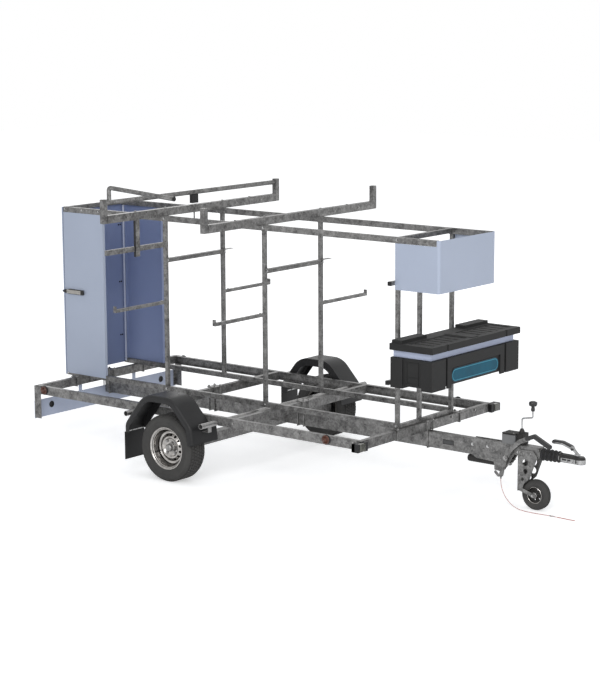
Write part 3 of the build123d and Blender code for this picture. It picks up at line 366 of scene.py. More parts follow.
# Near-black chrome for the rim's barrel: painted shade in the recessed well, which sets off the bright lip
# and seat.
WHEEL_SHADE_DARK = Finish(
    "wheel_dark", (0.022, 0.021, 0.020), (0.085, 0.080, 0.075), 0.25, 0.9, 14.0, PEEL, 500.0, 0.0001
)
DRUM_IRON = Finish(
    "drum_iron", (0.014, 0.014, 0.014), (0.045, 0.043, 0.041), 0.6, 0.4, 30.0, GRAIN, 400.0, specular=0.3
)
GUARD_BLACK = Finish(
    "guard_black", (0.009, 0.009, 0.0095), (0.017, 0.017, 0.018), 0.45, 0.0, 5.0, GRAIN, 1100.0, specular=0.3
)
BOX_BLACK = Finish(
    "box_black", (0.013, 0.013, 0.013), (0.022, 0.022, 0.022), 0.6, 0.0, 4.0, GRAIN, 650.0, 0.0004,
    specular=0.22,
)
COLLAR_BLUE = Finish("collar_blue", (0.42, 0.47, 0.62), (0.47, 0.52, 0.68), 0.5, 0.0, 3.0, GRAIN, 700.0)
PLATE_BLUE = Finish(
    "plate_blue", (0.003, 0.060, 0.100), (0.008, 0.105, 0.165), 0.5, 0.0, 9.0, PEEL, 500.0, 0.0001,
    specular=0.2,
)
PLATE_LINE = Finish(
    "plate_line", (0.055, 0.27, 0.38), (0.085, 0.33, 0.45), 0.5, 0.0, 8.0, PEEL, 500.0, 0.0001, specular=0.2
)
PLATE_EDGE = Finish(
    "plate_edge", (0.008, 0.02, 0.028), (0.012, 0.032, 0.045), 0.5, 0.0, 8.0, PEEL, 500.0, 0.0001
)
AMBER = Finish("amber", (0.034, 0.0075, 0.0028), (0.105, 0.025, 0.0065), 0.35, 0.0, 40.0, PLAIN, coat=0.1)
RED_LENS = Finish("red_lens", (0.30, 0.008, 0.006), (0.46, 0.016, 0.012), 0.25, 0.0, 20.0, PLAIN, coat=0.5)
SMOKED_LENS = Finish(
    "smoked_lens", (0.028, 0.029, 0.022), (0.085, 0.086, 0.066), 0.25, 0.0, 30.0, PLAIN, coat=0.5
)
BRIGHT_STEEL = Finish(
    "bright_steel", (0.24, 0.24, 0.24), (0.52, 0.52, 0.52), 0.25, 1.0, 30.0, BRUSHED, 500.0, 0.0001
)
LATCH_BEIGE = Finish(
    "latch_beige", (0.30, 0.285, 0.26), (0.42, 0.40, 0.37), 0.42, 0.2, 20.0, PEEL, 600.0, 0.0001
)
# A pale bluish strip that is painted light: the bright backdrop seen through the gap at the door's edge.
GAP_LIGHT_WHITE = Finish("painted_gap_light", (0.62, 0.66, 0.78), (0.74, 0.77, 0.86), 0.5, 0.0, 20.0, PEEL, 700.0, 0.0001)
CABLE_RED = Finish("cable_red", (0.45, 0.19, 0.17), (0.66, 0.38, 0.35), 0.4, 0.0, 60.0, depth=0.0001)
GREY_CASE = Finish(
    "grey_case", (0.13, 0.132, 0.135), (0.19, 0.192, 0.195), 0.5, 0.15, 10.0, PEEL, 500.0, 0.0001
)
LABEL_GREY = Finish(
    "label_grey", (0.030, 0.031, 0.033), (0.055, 0.056, 0.058), 0.4, 0.0, 30.0, PEEL, 600.0, 0.0001
)
BLACK_GLOSS = Finish(
    "black_gloss", (0.007, 0.007, 0.0075), (0.013, 0.013, 0.014), 0.34, 0.0, 12.0, depth=0.0001
)
HEAD_SILVER = Finish("head_silver", (0.12, 0.12, 0.12), (0.50, 0.50, 0.50), 0.3, 0.85, 60.0, SPANGLE, 140.0)


# ---------------------------------------------------------------- shapes
class Shape:
    """A mesh being put together from closed solids."""

    def __init__(self) -> None:
        """Starts empty."""
        self.mesh = bmesh.new()

    def faces(self, points: Sequence[Sequence[float]], loops: Iterable[Sequence[int]]) -> None:
        """Adds points and the faces between them.

        Args:
            points: The corners.
            loops: Each face's corners, as indices into the points.
        """
        corners = [self.mesh.verts.new(point) for point in points]
        for loop in loops:
            self.mesh.faces.new([corners[i] for i in loop])

    def box(self, low: Sequence[float], high: Sequence[float]) -> "Shape":
        """Adds a block between two corners."""
        (x0, y0, z0), (x1, y1, z1) = low, high
        return self.prism(((x0, y0), (x1, y0), (x1, y1), (x0, y1)), "Z", z0, z1)

    def block(self, side: int, low: Sequence[float], high: Sequence[float]) -> "Shape":
        """Adds a block given for the left side on the side that a sign of Y names."""
        y0, y1 = sorted((side * low[1], side * high[1]))
        return self.box((low[0], y0, low[2]), (high[0], y1, high[2]))

    def prism(self, outline: Sequence[Flat], axis: str, start: float, end: float) -> "Shape":
        """Adds a flat outline drawn out along an axis.

        Args:
            outline: The outline's corners in the other two axes, in XYZ order.
            axis: X, Y or Z.
            start: Where it starts along the axis.
            end: Where it ends.

        Returns:
            This shape.
        """
        count = len(outline)
        spot = "XYZ".index(axis)
        points = []
        for level in (start, end):
            for corner in outline:
                point = list(corner)
                point.insert(spot, level)
                points.append(point)
        sides = [(i, (i + 1) % count, (i + 1) % count + count, i + count) for i in range(count)]
        self.faces(points, [tuple(reversed(range(count))), tuple(range(count, 2 * count)), *sides])
        return self

    def ring(self, profile: Sequence[Flat], centre: Point, axis: str = "Y", steps: int = 72) -> "Shape":
        """Adds a closed profile turned a full round about an axis.

        Args:
            profile: Radius and place along the axis, round the closed section. A radius of 0 is a pole.
            centre: The point of the axis from which the places count.
            axis: X, Y or Z.
            steps: How many steps a full turn has.

        Returns:
            This shape.
        """
        spot = "XYZ".index(axis)
        across = [i for i in range(3) if i != spot]
        rows = []
        for radius, along in profile:
            row = []
            for k in range(steps if radius > 0.0 else 1):
                angle = math.tau * k / steps
                point = list(centre)
                point[across[0]] += radius * math.cos(angle)
                point[across[1]] += radius * math.sin(angle)
                point[spot] += along
                row.append(self.mesh.verts.new(point))
            rows.append(row)
        for row, after in zip(rows, rows[1:] + rows[:1]):
            if len(row) == 1 and len(after) == 1:
                continue
            for k in range(steps):
                here, there = k % len(row), (k + 1) % len(row)
                corners = [row[here], row[there], after[(k + 1) % len(after)], after[k % len(after)]]
                self.mesh.faces.new(list(dict.fromkeys(corners)))
        return self

    def disc(self, profile: Sequence[Flat], centre: Point, axis: str = "Y", steps: int = 48) -> "Shape":
        """Adds a solid turned from an open profile, closed to the axis at both ends."""
        return self.ring([(0.0, profile[0][1]), *profile, (0.0, profile[-1][1])], centre, axis, steps)

    def drill(self, radius: float, reach: float, spot: Point, axis: str = "Y", steps: int = 24) -> "Shape":
        """Adds a round bar about a spot, which reaches as far to each side."""
        return self.disc([(radius, -reach), (radius, reach)], spot, axis, steps)

    def tube(self, path: Sequence[Sequence[float]], radius: float, steps: int = 12) -> "Shape":
        """Adds a round bar along a path of points, with flat ends.

        Args:
            path: The points of its middle line.
            radius: Its radius.
            steps: The sides of its section.

        Returns:
            This shape.
        """
        points = [Vector(point) for point in path]
        side = (points[1] - points[0]).orthogonal().normalized()
        rings = []
        for i, point in enumerate(points):
            before = points[max(i - 1, 0)]
            after = points[min(i + 1, len(points) - 1)]
            along = (after - before).normalized()
            side = (side - along * side.dot(along)).normalized()
            up = along.cross(side)
            angles = [math.tau * k / steps for k in range(steps)]
            rings.append([tuple(point + radius * (side * math.cos(a) + up * math.sin(a))) for a in angles])
        return self.loft(rings)

    def loft(self, rows: Sequence[Sequence[Point]]) -> "Shape":
        """Adds a solid through closed loops of points, with flat ends.

        Args:
            rows: The loops, with as many points each.

        Returns:
            This shape.
        """
        rings = [[self.mesh.verts.new(point) for point in row] for row in rows]
        for row, after in zip(rings, rings[1:]):
            for k in range(len(row)):
                on = (k + 1) % len(row)
                self.mesh.faces.new((row[k], row[on], after[on], after[k]))
        self.mesh.faces.new(list(reversed(rings[0])))
        self.mesh.faces.new(rings[-1])
        return self

    def copied(self, node: str) -> "Shape":
        """Adds a merged copy of a CAD node's mesh, with flat faces joined.

        Args:
            node: The node's name.

        Returns:
            This shape.
        """
        self.mesh.from_mesh(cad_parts[node].data)
        bmesh.ops.remove_doubles(self.mesh, verts=self.mesh.verts, dist=1e-6)
        flat = math.radians(0.6)
        bmesh.ops.dissolve_limit(self.mesh, angle_limit=flat, verts=self.mesh.verts, edges=self.mesh.edges)
        bmesh.ops.connect_verts_concave(self.mesh, faces=self.mesh.faces)
        return self

    def object(self, name: str) -> bpy.types.Object:
        """Makes the object, with every face outwards.

        Args:
            name: The object's name.

        Returns:
            The object, at the origin.
        """
        bmesh.ops.recalc_face_normals(self.mesh, faces=self.mesh.faces)
        mesh = bpy.data.meshes.new(name)
        self.mesh.to_mesh(mesh)
        self.mesh.free()
        return linked(name, mesh)


def linked(name: str, data: bpy.types.ID | None) -> bpy.types.Object:
    """Makes an object of some data and puts it in the scene."""
    piece = bpy.data.objects.new(name, data)
    bpy.context.scene.collection.objects.link(piece)
    return piece


def smoothed(piece: bpy.types.Object, angle: float = 35.0) -> bpy.types.Object:
    """Shades a piece smooth, but for edges sharper than an angle in degrees."""
    piece.data.polygons.foreach_set("use_smooth", [True] * len(piece.data.polygons))
    piece.data.set_sharp_from_angle(angle=math.radians(angle))
    return piece


def softened(
    piece: bpy.types.Object, width: float, segments: int = 2, angle: float = 32.0
) -> bpy.types.Object:
    """Rounds a piece's edges.

    Args:
        piece: The mesh object.
        width: The rounding's width in metres.
        segments: How many faces it has across.
        angle: The least angle of an edge that it rounds, in degrees.

    Returns:
        The piece.
    """
    bevel = piece.modifiers.new("edges", "BEVEL")
    bevel.width = width
    bevel.segments = segments
    bevel.limit_method = "ANGLE"
    bevel.angle_limit = math.radians(angle)
    bevel.miter_outer = "MITER_ARC"
    piece.data.polygons.foreach_set("use_smooth", [True] * len(piece.data.polygons))
    piece.modifiers.new("shade", "WEIGHTED_NORMAL").weight = 60
    return piece


def baked(piece: bpy.types.Object, modifier: bpy.types.Modifier) -> bpy.types.Mesh:
    """A piece's mesh as its modifiers leave it.

    Args:
        piece: The mesh object.
        modifier: The modifier that is removed from it afterwards.

    Returns:
        The new mesh.
    """
    graph = bpy.context.evaluated_depsgraph_get()
    mesh = bpy.data.meshes.new_from_object(piece.evaluated_get(graph))
    piece.modifiers.remove(modifier)
    return mesh


def cut(piece: bpy.types.Object, tool: Shape) -> bpy.types.Object:
    """Cuts a shape out of a piece.

    Args:
        piece: The mesh object.
        tool: The closed shape that is taken away.

    Returns:
        The piece, with its mesh cut.
    """
    cutter = tool.object("cutter")
    knife = piece.modifiers.new("cut", "BOOLEAN")
    knife.operation = "DIFFERENCE"
    knife.solver = "EXACT"
    knife.object = cutter
    piece.data = baked(piece, knife)
    bpy.data.objects.remove(cutter)
    return piece


def placed(
    piece: bpy.types.Object, finish: Finish, body: str = "trailer",
    replaces: Sequence[str] = (),
) -> bpy.types.Object:
    """Dresses a finished piece and hands it to its body.

    Args:
        piece: The object.
        finish: Its finish.
        body: The body that it rides on.
        replaces: The CAD nodes that it stands for.

    Returns:
        The piece.
    """
    PALETTE.dress(piece, finish)
    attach(piece, body)
    if replaces:
        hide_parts(*replaces)
    return piece


def lined(
    piece: bpy.types.Object, finish: Finish, inside: Callable[[Vector, Vector], bool]
) -> bpy.types.Object:
    """Gives a piece a second finish on the faces that a test picks.

    Args:
        piece: The piece, dressed in its first finish.
        finish: The second finish.
        inside: Tells from a face's middle and normal whether it has the second finish.

    Returns:
        The piece.
    """
    piece.data.materials.append(PALETTE.of(finish))
    for face in piece.data.polygons:
        face.material_index = int(inside(face.center, face.normal))
    return piece


# ---------------------------------------------------------------- outlines and paths
def arc(centre: Flat, radius: float, first: float, last: float, steps: int = 8) -> list[Flat]:
    """Points on an arc.

    Args:
        centre: Its centre.
        radius: Its radius.
        first: Its first angle in degrees.
        last: Its last angle.
        steps: How many stretches it has.

    Returns:
        The points.
    """
    angles = [math.radians(first + (last - first) * k / steps) for k in range(steps + 1)]
    return [(centre[0] + radius * math.cos(a), centre[1] + radius * math.sin(a)) for a in angles]


def rounded(
    width: float, height: float, radius: float, steps: int = 6, centre: Flat = (0.0, 0.0)
) -> list[Flat]:
    """The outline of a rounded rectangle.

    Args:
        width: Its width.
        height: Its height.
        radius: Its corners' radius.
        steps: How many stretches a corner has.
        centre: Its middle.

    Returns:
        The points.
    """
    w, h = width / 2 - radius, height / 2 - radius
    points = []
    for (x, y), first in (((w, h), 0), ((-w, h), 90), ((-w, -h), 180), ((w, -h), 270)):
        points += arc((centre[0] + x, centre[1] + y), radius, first, first + 90, steps)
    return points


def mirrored(half: Sequence[Flat]) -> list[Flat]:
    """A profile and its mirror image across the plane from which its places count, as one closed loop."""
    return [*half, *[(radius, -along) for radius, along in reversed(half)]]


def bent(points: Sequence[Flat], radii: Sequence[float], steps: int = 10) -> list[Flat]:
    """A path of straight runs with a round bend at each inner corner.

    Args:
        points: The path's corners.
        radii: The bends' radii, one for each inner corner.
        steps: How many stretches a bend has.

    Returns:
        The path's points.
    """
    path = [points[0]]
    for before, corner, after, radius in zip(points, points[1:], points[2:], radii):
        here = Vector(corner)
        back = (Vector(before) - here).normalized()
        on = (Vector(after) - here).normalized()
        half = back.angle(on) / 2
        centre = here + (back + on).normalized() * radius / math.sin(half)
        start = here + back * radius / math.tan(half) - centre
        end = here + on * radius / math.tan(half) - centre
        turn = start.angle_signed(end)
        for k in range(steps + 1):
            spoke = Matrix.Rotation(-turn * k / steps, 2) @ start
            path.append(tuple(centre + spoke))
    return [*path, points[-1]]


def swept(path: Sequence[Flat], section: Sequence[Flat]) -> list[list[Point]]:
    """A section repeated along a path in the XZ plane, square to it.

    Args:
        path: The path's points.
        section: The section's points, as Y and the distance to the path's left.

    Returns:
        The loops of points.
    """
    spots = [Vector(point) for point in path]
    rows = []
    for i, spot in enumerate(spots):
        along = (spots[min(i + 1, len(spots) - 1)] - spots[max(i - 1, 0)]).normalized()
        rows.append([(spot.x - along.y * out, y, spot.y + along.x * out) for y, out in section])
    return rows


def around(
    centre: Sequence[float], radius: float, count: int, along: float, start: float = 0.0
) -> list[tuple[Point, Point]]:
    """Evenly spaced places round a wheel.

    Args:
        centre: The wheel's centre.
        radius: How far out they lie.
        count: How many there are.
        along: Their offset from the centre along Y.
        start: The first one's angle in degrees.

    Returns:
        Each place and the direction outwards from the axis.
    """
    spots = []
    for k in range(count):
        angle = math.radians(start + 360.0 * k / count)
        out = (math.cos(angle), 0.0, math.sin(angle))
        spots.append(((centre[0] + radius * out[0], centre[1] + along, centre[2] + radius * out[2]), out))
    return spots


# ---------------------------------------------------------------- repeats by Geometry Nodes
class RepeatTree(Nodes):
    """A Geometry Nodes tree with named inputs that ends in Realize Instances and Set Material."""

    def __init__(self, name: str, *labels: str) -> None:
        """Starts the tree with its seed geometry, its material, its named sizes and its output.

        Args:
            name: The tree's name.
            labels: The names of its sizes.
        """
        super().__init__(bpy.data.node_groups.new(name, "GeometryNodeTree"))
        self.sockets: dict[str, str] = {}
        self.socket("Seeds", "NodeSocketGeometry")
        self.socket("Material", "NodeSocketMaterial")
        for label in labels:
            self.socket(label)
        self.tree.interface.new_socket("Result", in_out="OUTPUT", socket_type="NodeSocketGeometry")
        self.inputs = self.add("NodeGroupInput").outputs
        self.result = self.add("NodeGroupOutput").inputs["Result"]

    def socket(self, label: str, kind: str = "NodeSocketFloat") -> None:
        """Adds a named input."""
        made = self.tree.interface.new_socket(label, in_out="INPUT", socket_type=kind)
        self.sockets[label] = made.identifier

    def column(self, height: Socket, way: str = "Z") -> Socket:
        """A vector with one part, along an axis."""
        node = self.add("ShaderNodeCombineXYZ")
        self.wire(height, node.inputs[way])
        return node.outputs["Vector"]

    def scatter(self, points: Socket, instance: Socket) -> bpy.types.Node:
        """Puts a copy on every point.

        Args:
            points: The points.
            instance: What is copied.

        Returns:
            The node that makes the copies.
        """
        put = self.add("GeometryNodeInstanceOnPoints")
        self.wire(points, put.inputs["Points"])
        self.wire(instance, put.inputs["Instance"])
        return put

    def turned(self, attribute: str, axis: str, **settings: object) -> bpy.types.Node:
        """Adds the rotation that points an axis along a named attribute of the seeds.

        Args:
            attribute: The attribute's name.
            axis: The axis that it turns.
            settings: Values for the rotation node's own fields.

        Returns:
            The rotation node.
        """
        facing = self.add("GeometryNodeInputNamedAttribute", data_type="FLOAT_VECTOR")
        facing.inputs["Name"].default_value = attribute
        align = self.add("FunctionNodeAlignRotationToVector", axis=axis, **settings)
        self.wire(facing.outputs["Attribute"], align.inputs["Vector"])
        return align

    def random(self, low: float, high: float, seed: int) -> Socket:
        """A random number for every copy.

        Args:
            low: Its lowest value.
            high: Its highest value.
            seed: The fixed seed.

        Returns:
            The number.
        """
        node = self.add("FunctionNodeRandomValue", data_type="FLOAT")
        for name, value in (("Min", low), ("Max", high), ("Seed", seed)):
            node.inputs[name].default_value = value
        return node.outputs["Value"]

    def close(self, put: bpy.types.Node, smooth: bool = False) -> None:
        """Ends the tree.

        Args:
            put: The node that makes the copies.
            smooth: True where they are shaded smooth.
        """
        real = self.add("GeometryNodeRealizeInstances")
        self.wire(put.outputs["Instances"], real.inputs["Geometry"])
        last = real.outputs["Geometry"]
        if smooth:
            shade = self.add("GeometryNodeSetShadeSmooth")
            self.wire(last, shade.inputs["Geometry"])
            last = shade.outputs["Geometry"]
        paint = self.add("GeometryNodeSetMaterial")
        self.wire(last, paint.inputs["Geometry"])
        self.wire(self.inputs["Material"], paint.inputs["Material"])
        self.wire(paint.outputs["Geometry"], self.result)

    def grow(self, name: str, seeds: "Seeds", finish: Finish, body: str, slot: str, **sizes: float) -> None:
        """Runs the tree on seeds, keeps the result as a plain mesh and hands it to its body.

        Args:
            name: The new piece's name.
            seeds: The seeds.
            finish: The finish that the tree sets.
            body: The body that carries the piece.
            slot: Not used.
            sizes: Values for the named sizes, with an underscore for each blank in their names.
        """
        ground = seeds.object()
        run = ground.modifiers.new("repeat", "NODES")
        run.node_group = self.tree
        run[self.sockets["Material"]] = PALETTE.of(finish)
        for label, value in sizes.items():
            run[self.sockets[label.replace("_", " ")]] = value
        mesh = baked(ground, run)
        mesh.name = name
        bpy.data.objects.remove(ground)
        piece = linked(name, mesh)
        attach(piece, body)


class FastenerTree(RepeatTree):
    """Puts a washer and a hexagon head on every seed point, turned to its facing."""

    SEED = 7
    WASHER_SIDES = 24
    HEAD_SIDES = 6

    def __init__(self) -> None:
        """Builds the tree."""
        super().__init__("fasteners", "Head radius", "Head height", "Washer radius", "Washer height")
        parts = self.add("GeometryNodeJoinGeometry")
        self.wire(self.cylinder(self.WASHER_SIDES, "Washer", None), parts.inputs[0])
        self.wire(self.cylinder(self.HEAD_SIDES, "Head", "Washer height"), parts.inputs[0])
        put = self.scatter(self.inputs["Seeds"], parts.outputs[0])
        turn = self.add("FunctionNodeRotateRotation", rotation_space="LOCAL")
        self.wire(self.turned("facing", "Z").outputs["Rotation"], turn.inputs["Rotation"])
        self.wire(self.column(self.random(0.0, math.tau, self.SEED)), turn.inputs["Rotate By"])
        self.wire(turn.outputs["Rotation"], put.inputs["Rotation"])
        self.close(put)

    def cylinder(self, sides: int, part: str, under: str | None) -> Socket:
        """A cylinder that stands on the seed, or on what lies under it.

        Args:
            sides: Its number of sides.
            part: The part whose radius and height it has.
            under: The input that gives the height of what it stands on.

        Returns:
            The mesh output.
        """
        radius, height = self.inputs[part + " radius"], self.inputs[part + " height"]
        drum = self.add("GeometryNodeMeshCylinder")
        drum.inputs["Vertices"].default_value = sides
        self.wire(radius, drum.inputs["Radius"])
        self.wire(height, drum.inputs["Depth"])
        middle = self.maths("MULTIPLY", height, 0.5)
        if under:
            middle = self.maths("ADD", middle, self.inputs[under])
        move = self.add("GeometryNodeTransform")
        self.wire(drum.outputs["Mesh"], move.inputs["Geometry"])
        self.wire(self.column(middle), move.inputs["Translation"])
        return move.outputs["Geometry"]


class WeldTree(RepeatTree):
    """Lays overlapping round ripples along the seed edges, as a weld bead."""

    SEED = 3
    SMALLEST = 0.85
    LARGEST = 1.15

    def __init__(self) -> None:
        """Builds the tree."""
        super().__init__("welds", "Bead radius", "Pitch")
        line = self.add("GeometryNodeMeshToCurve")
        self.wire(self.inputs["Seeds"], line.inputs["Mesh"])
        even = self.add("GeometryNodeResampleCurve", mode="LENGTH")
        self.wire(line.outputs["Curve"], even.inputs["Curve"])
        self.wire(self.inputs["Pitch"], even.inputs["Length"])
        drop = self.add("GeometryNodeMeshIcoSphere")
        drop.inputs["Subdivisions"].default_value = 2
        self.wire(self.inputs["Bead radius"], drop.inputs["Radius"])
        put = self.scatter(even.outputs["Curve"], drop.outputs["Mesh"])
        self.wire(self.random(self.SMALLEST, self.LARGEST, self.SEED), put.inputs["Scale"])
        self.close(put, smooth=True)


class TreadTree(RepeatTree):
    """Sets blocks round a circle of seeds, each turned outwards."""

    def __init__(self) -> None:
        """Builds the tree."""
        super().__init__("tread", "Length", "Width", "Height")
        block = self.add("GeometryNodeMeshCube")
        size = self.add("ShaderNodeCombineXYZ")
        for label, way in (("Length", "X"), ("Width", "Y"), ("Height", "Z")):
            self.wire(self.inputs[label], size.inputs[way])
        self.wire(size.outputs["Vector"], block.inputs["Size"])
        put = self.scatter(self.inputs["Seeds"], block.outputs["Mesh"])
        settle = self.turned("across", "Y", pivot_axis="Z")
        self.wire(self.turned("facing", "Z").outputs["Rotation"], settle.inputs["Rotation"])
        self.wire(settle.outputs["Rotation"], put.inputs["Rotation"])
        self.close(put)


@dataclass
class Seeds:
    """Seed points with directions, or seed lines, for a repeat tree."""

    points: list[Point] = field(default_factory=list)
    facing: list[Point] = field(default_factory=list)
    across: list[Point] = field(default_factory=list)
    edges: list[tuple[int, int]] = field(default_factory=list)

    def dot(self, point: Sequence[float], facing: Point, across: Point = (0, 1, 0)) -> None:
        """Adds a point that faces a direction.

        Args:
            point: Its place.
            facing: The direction that it faces.
            across: The direction that a block set on it lies along with its Y axis.
        """
        self.points.append(tuple(point))
        self.facing.append(tuple(facing))
        self.across.append(tuple(across))

    def line(self, path: Sequence[Sequence[float]], closed: bool = False) -> None:
        """Adds a line along points.

        Args:
            path: The points.
            closed: True where the last is joined to the first.
        """
        first = len(self.points)
        for point in path:
            self.dot(point, (0, 0, 1))
        last = len(self.points) - 1
        self.edges += [(i, i + 1) for i in range(first, last)]
        if closed:
            self.edges.append((last, first))

    def object(self) -> bpy.types.Object:
        """The seeds as a mesh object that carries its directions."""
        mesh = bpy.data.meshes.new("seeds")
        mesh.from_pydata(self.points, self.edges, [])
        for name, values in (("facing", self.facing), ("across", self.across)):
            layer = mesh.attributes.new(name, "FLOAT_VECTOR", "POINT")
            layer.data.foreach_set("vector", [part for value in values for part in value])
        return linked("seeds", mesh)


@dataclass
class Hardware:
    """Nuts, bolts, rivets and weld beads, gathered by sub-assembly."""

    fasteners: FastenerTree = field(default_factory=FastenerTree)
    welds: WeldTree = field(default_factory=WeldTree)

    def bolts(
        self, name: str, seeds: Seeds, head: float, finish: Finish, body: str = "trailer",
        slot: str = "bright_steel",
    ) -> None:
        """Sets hexagon heads with washers.

        Args:
            name: The piece's name.
            seeds: Their places and facings.
            head: The head's radius over its corners.
            finish: Their finish.
            body: The body that carries them.
            slot: The slot's name, handed on to the repeat tree.
        """
        self.fasteners.grow(
            name, seeds, finish, body, slot, Head_radius=head, Head_height=head * 0.75,
            Washer_radius=head * 1.3, Washer_height=head * 0.2,
        )

    def beads(self, name: str, seeds: Seeds, radius: float, finish: Finish) -> None:
        """Lays weld beads along the seeds' lines, as round ripples of a radius."""
        self.welds.grow(
            name, seeds, finish, "trailer", "galvanised_steel", Bead_radius=radius, Pitch=radius * 0.9
        )


# ---------------------------------------------------------------- studio and cable
@dataclass
class Studio:
    """A white floor, soft lamps and the camera."""

    azimuth: float = 38.79
    elevation: float = 10.43
    roll: float = -0.27
    distance: float = 18.51
    target: Point = (-1.9675, 2.233, 0.422)
    lens: float = 101.35
    floor_half: float = 30.0
    glow_from: float = 3.4
    glow_to: float = 6.5
    glow_near: float = 0.46
    glow_far: float = 0.75
    white: tuple[float, ...] = (1.0, 1.0, 1.0, 1.0)
    sky: tuple[float, ...] = (0.95, 0.97, 1.0, 1.0)
    sky_strength: float = 0.42
    middle: Point = (0.0, 0.0, 0.9)
    lamps: tuple[tuple[str, Point, float, float], ...] = (
        ("key", (5.0, -10.5, 6.0), 6.0, 640.0),
        ("front", (12.0, -1.0, 4.0), 5.0, 230.0),
        ("top", (0.0, 0.0, 11.0), 9.0, 220.0),
        ("back", (-9.0, 6.0, 6.0), 5.0, 120.0),
    )

    def build(self) -> None:
        """Makes the floor, the world, the lamps and the camera."""
        self.floor()
        self.world()
        for name, place, size, power in self.lamps:
            self.lamp(name, place, size, power)
        self.camera()

    def floor(self) -> None:
        """The pale floor, which takes the trailer's shadow."""
        half = self.floor_half
        mesh = bpy.data.meshes.new("floor")
        corners = [(-half, -half, 0), (half, -half, 0), (half, half, 0), (-half, half, 0)]
        mesh.from_pydata(corners, [], [(0, 1, 2, 3)])
        sheet = NodeSheet("floor_white")
        tone = sheet.ramp(sheet.noise(1.5), (0.3, (0.93, 0.935, 0.94)), (0.7, (0.95, 0.955, 0.96)))
        sheet.wire(tone, sheet.shader.inputs["Base Color"])
        sheet.put(Roughness=0.8, Specular_IOR_Level=0.1, Emission_Color=self.white)
        sheet.wire(self.lift(sheet), sheet.shader.inputs["Emission Strength"])
        mesh.materials.append(sheet.material)
        linked("floor", mesh)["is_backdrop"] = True

    def lift(self, sheet: NodeSheet) -> Socket:
        """The floor's own glow where it is seen, which grows outwards so that it meets the white surround.

        Args:
            sheet: The floor's material.

        Returns:
            The glow's strength.
        """
        reach = sheet.add("ShaderNodeVectorMath", operation="LENGTH")
        sheet.wire(sheet.place, reach.inputs[0])
        glow = sheet.spread(
            reach.outputs["Value"], (self.glow_near, self.glow_far), (self.glow_from, self.glow_to)
        )
        return sheet.maths("MULTIPLY", glow, sheet.seen())

    def world(self) -> None:
        """A soft surround that the camera and glossy surfaces see as white."""
        world = bpy.data.worlds.new("surround")
        bpy.context.scene.world = world
        world.use_nodes = True
        world.node_tree.nodes.clear()
        tree = Nodes(world.node_tree)
        mix = tree.add("ShaderNodeMixShader")
        tree.wire(tree.seen(), mix.inputs[0])
        skies = ((self.sky, self.sky_strength, mix.inputs[1]), (self.white, 1.0, mix.inputs[2]))
        for colour, strength, target in skies:
            sky = tree.add("ShaderNodeBackground")
            sky.inputs["Color"].default_value = colour
            sky.inputs["Strength"].default_value = strength
            tree.wire(sky.outputs[0], target)
        tree.wire(mix.outputs[0], tree.add("ShaderNodeOutputWorld").inputs["Surface"])

    def lamp(self, name: str, place: Point, size: float, power: float) -> None:
        """A soft square lamp that faces the trailer's middle.

        Args:
            name: The lamp's name.
            place: Where it stands.
            size: Its side in metres.
            power: Its power in watts.
        """
        light = bpy.data.lights.new(name, "AREA")
        light.size = size
        light.energy = power
        lamp = linked(name, light)
        lamp.location = place
        lamp.rotation_euler = (Vector(self.middle) - Vector(place)).to_track_quat("-Z", "Y").to_euler()

    def camera(self) -> None:
        """The camera, at its angle round the target."""
        data = bpy.data.cameras.new("camera")
        data.lens = self.lens
        data.clip_end = 200.0
        camera = linked("camera", data)
        a = math.radians(self.azimuth)
        e = math.radians(self.elevation)
        back = Vector((math.sin(a) * math.cos(e), -math.cos(a) * math.cos(e), math.sin(e)))
        right = Vector((math.cos(a), math.sin(a), 0.0))
        level = Matrix((right, back.cross(right), back)).transposed()
        turn = level @ Matrix.Rotation(math.radians(self.roll), 3, "Z")
        camera.matrix_world = Matrix.Translation(Vector(self.target) + back * self.distance) @ turn.to_4x4()
        bpy.context.scene.camera = camera
        bpy.context.scene.view_settings.view_transform = "Standard"


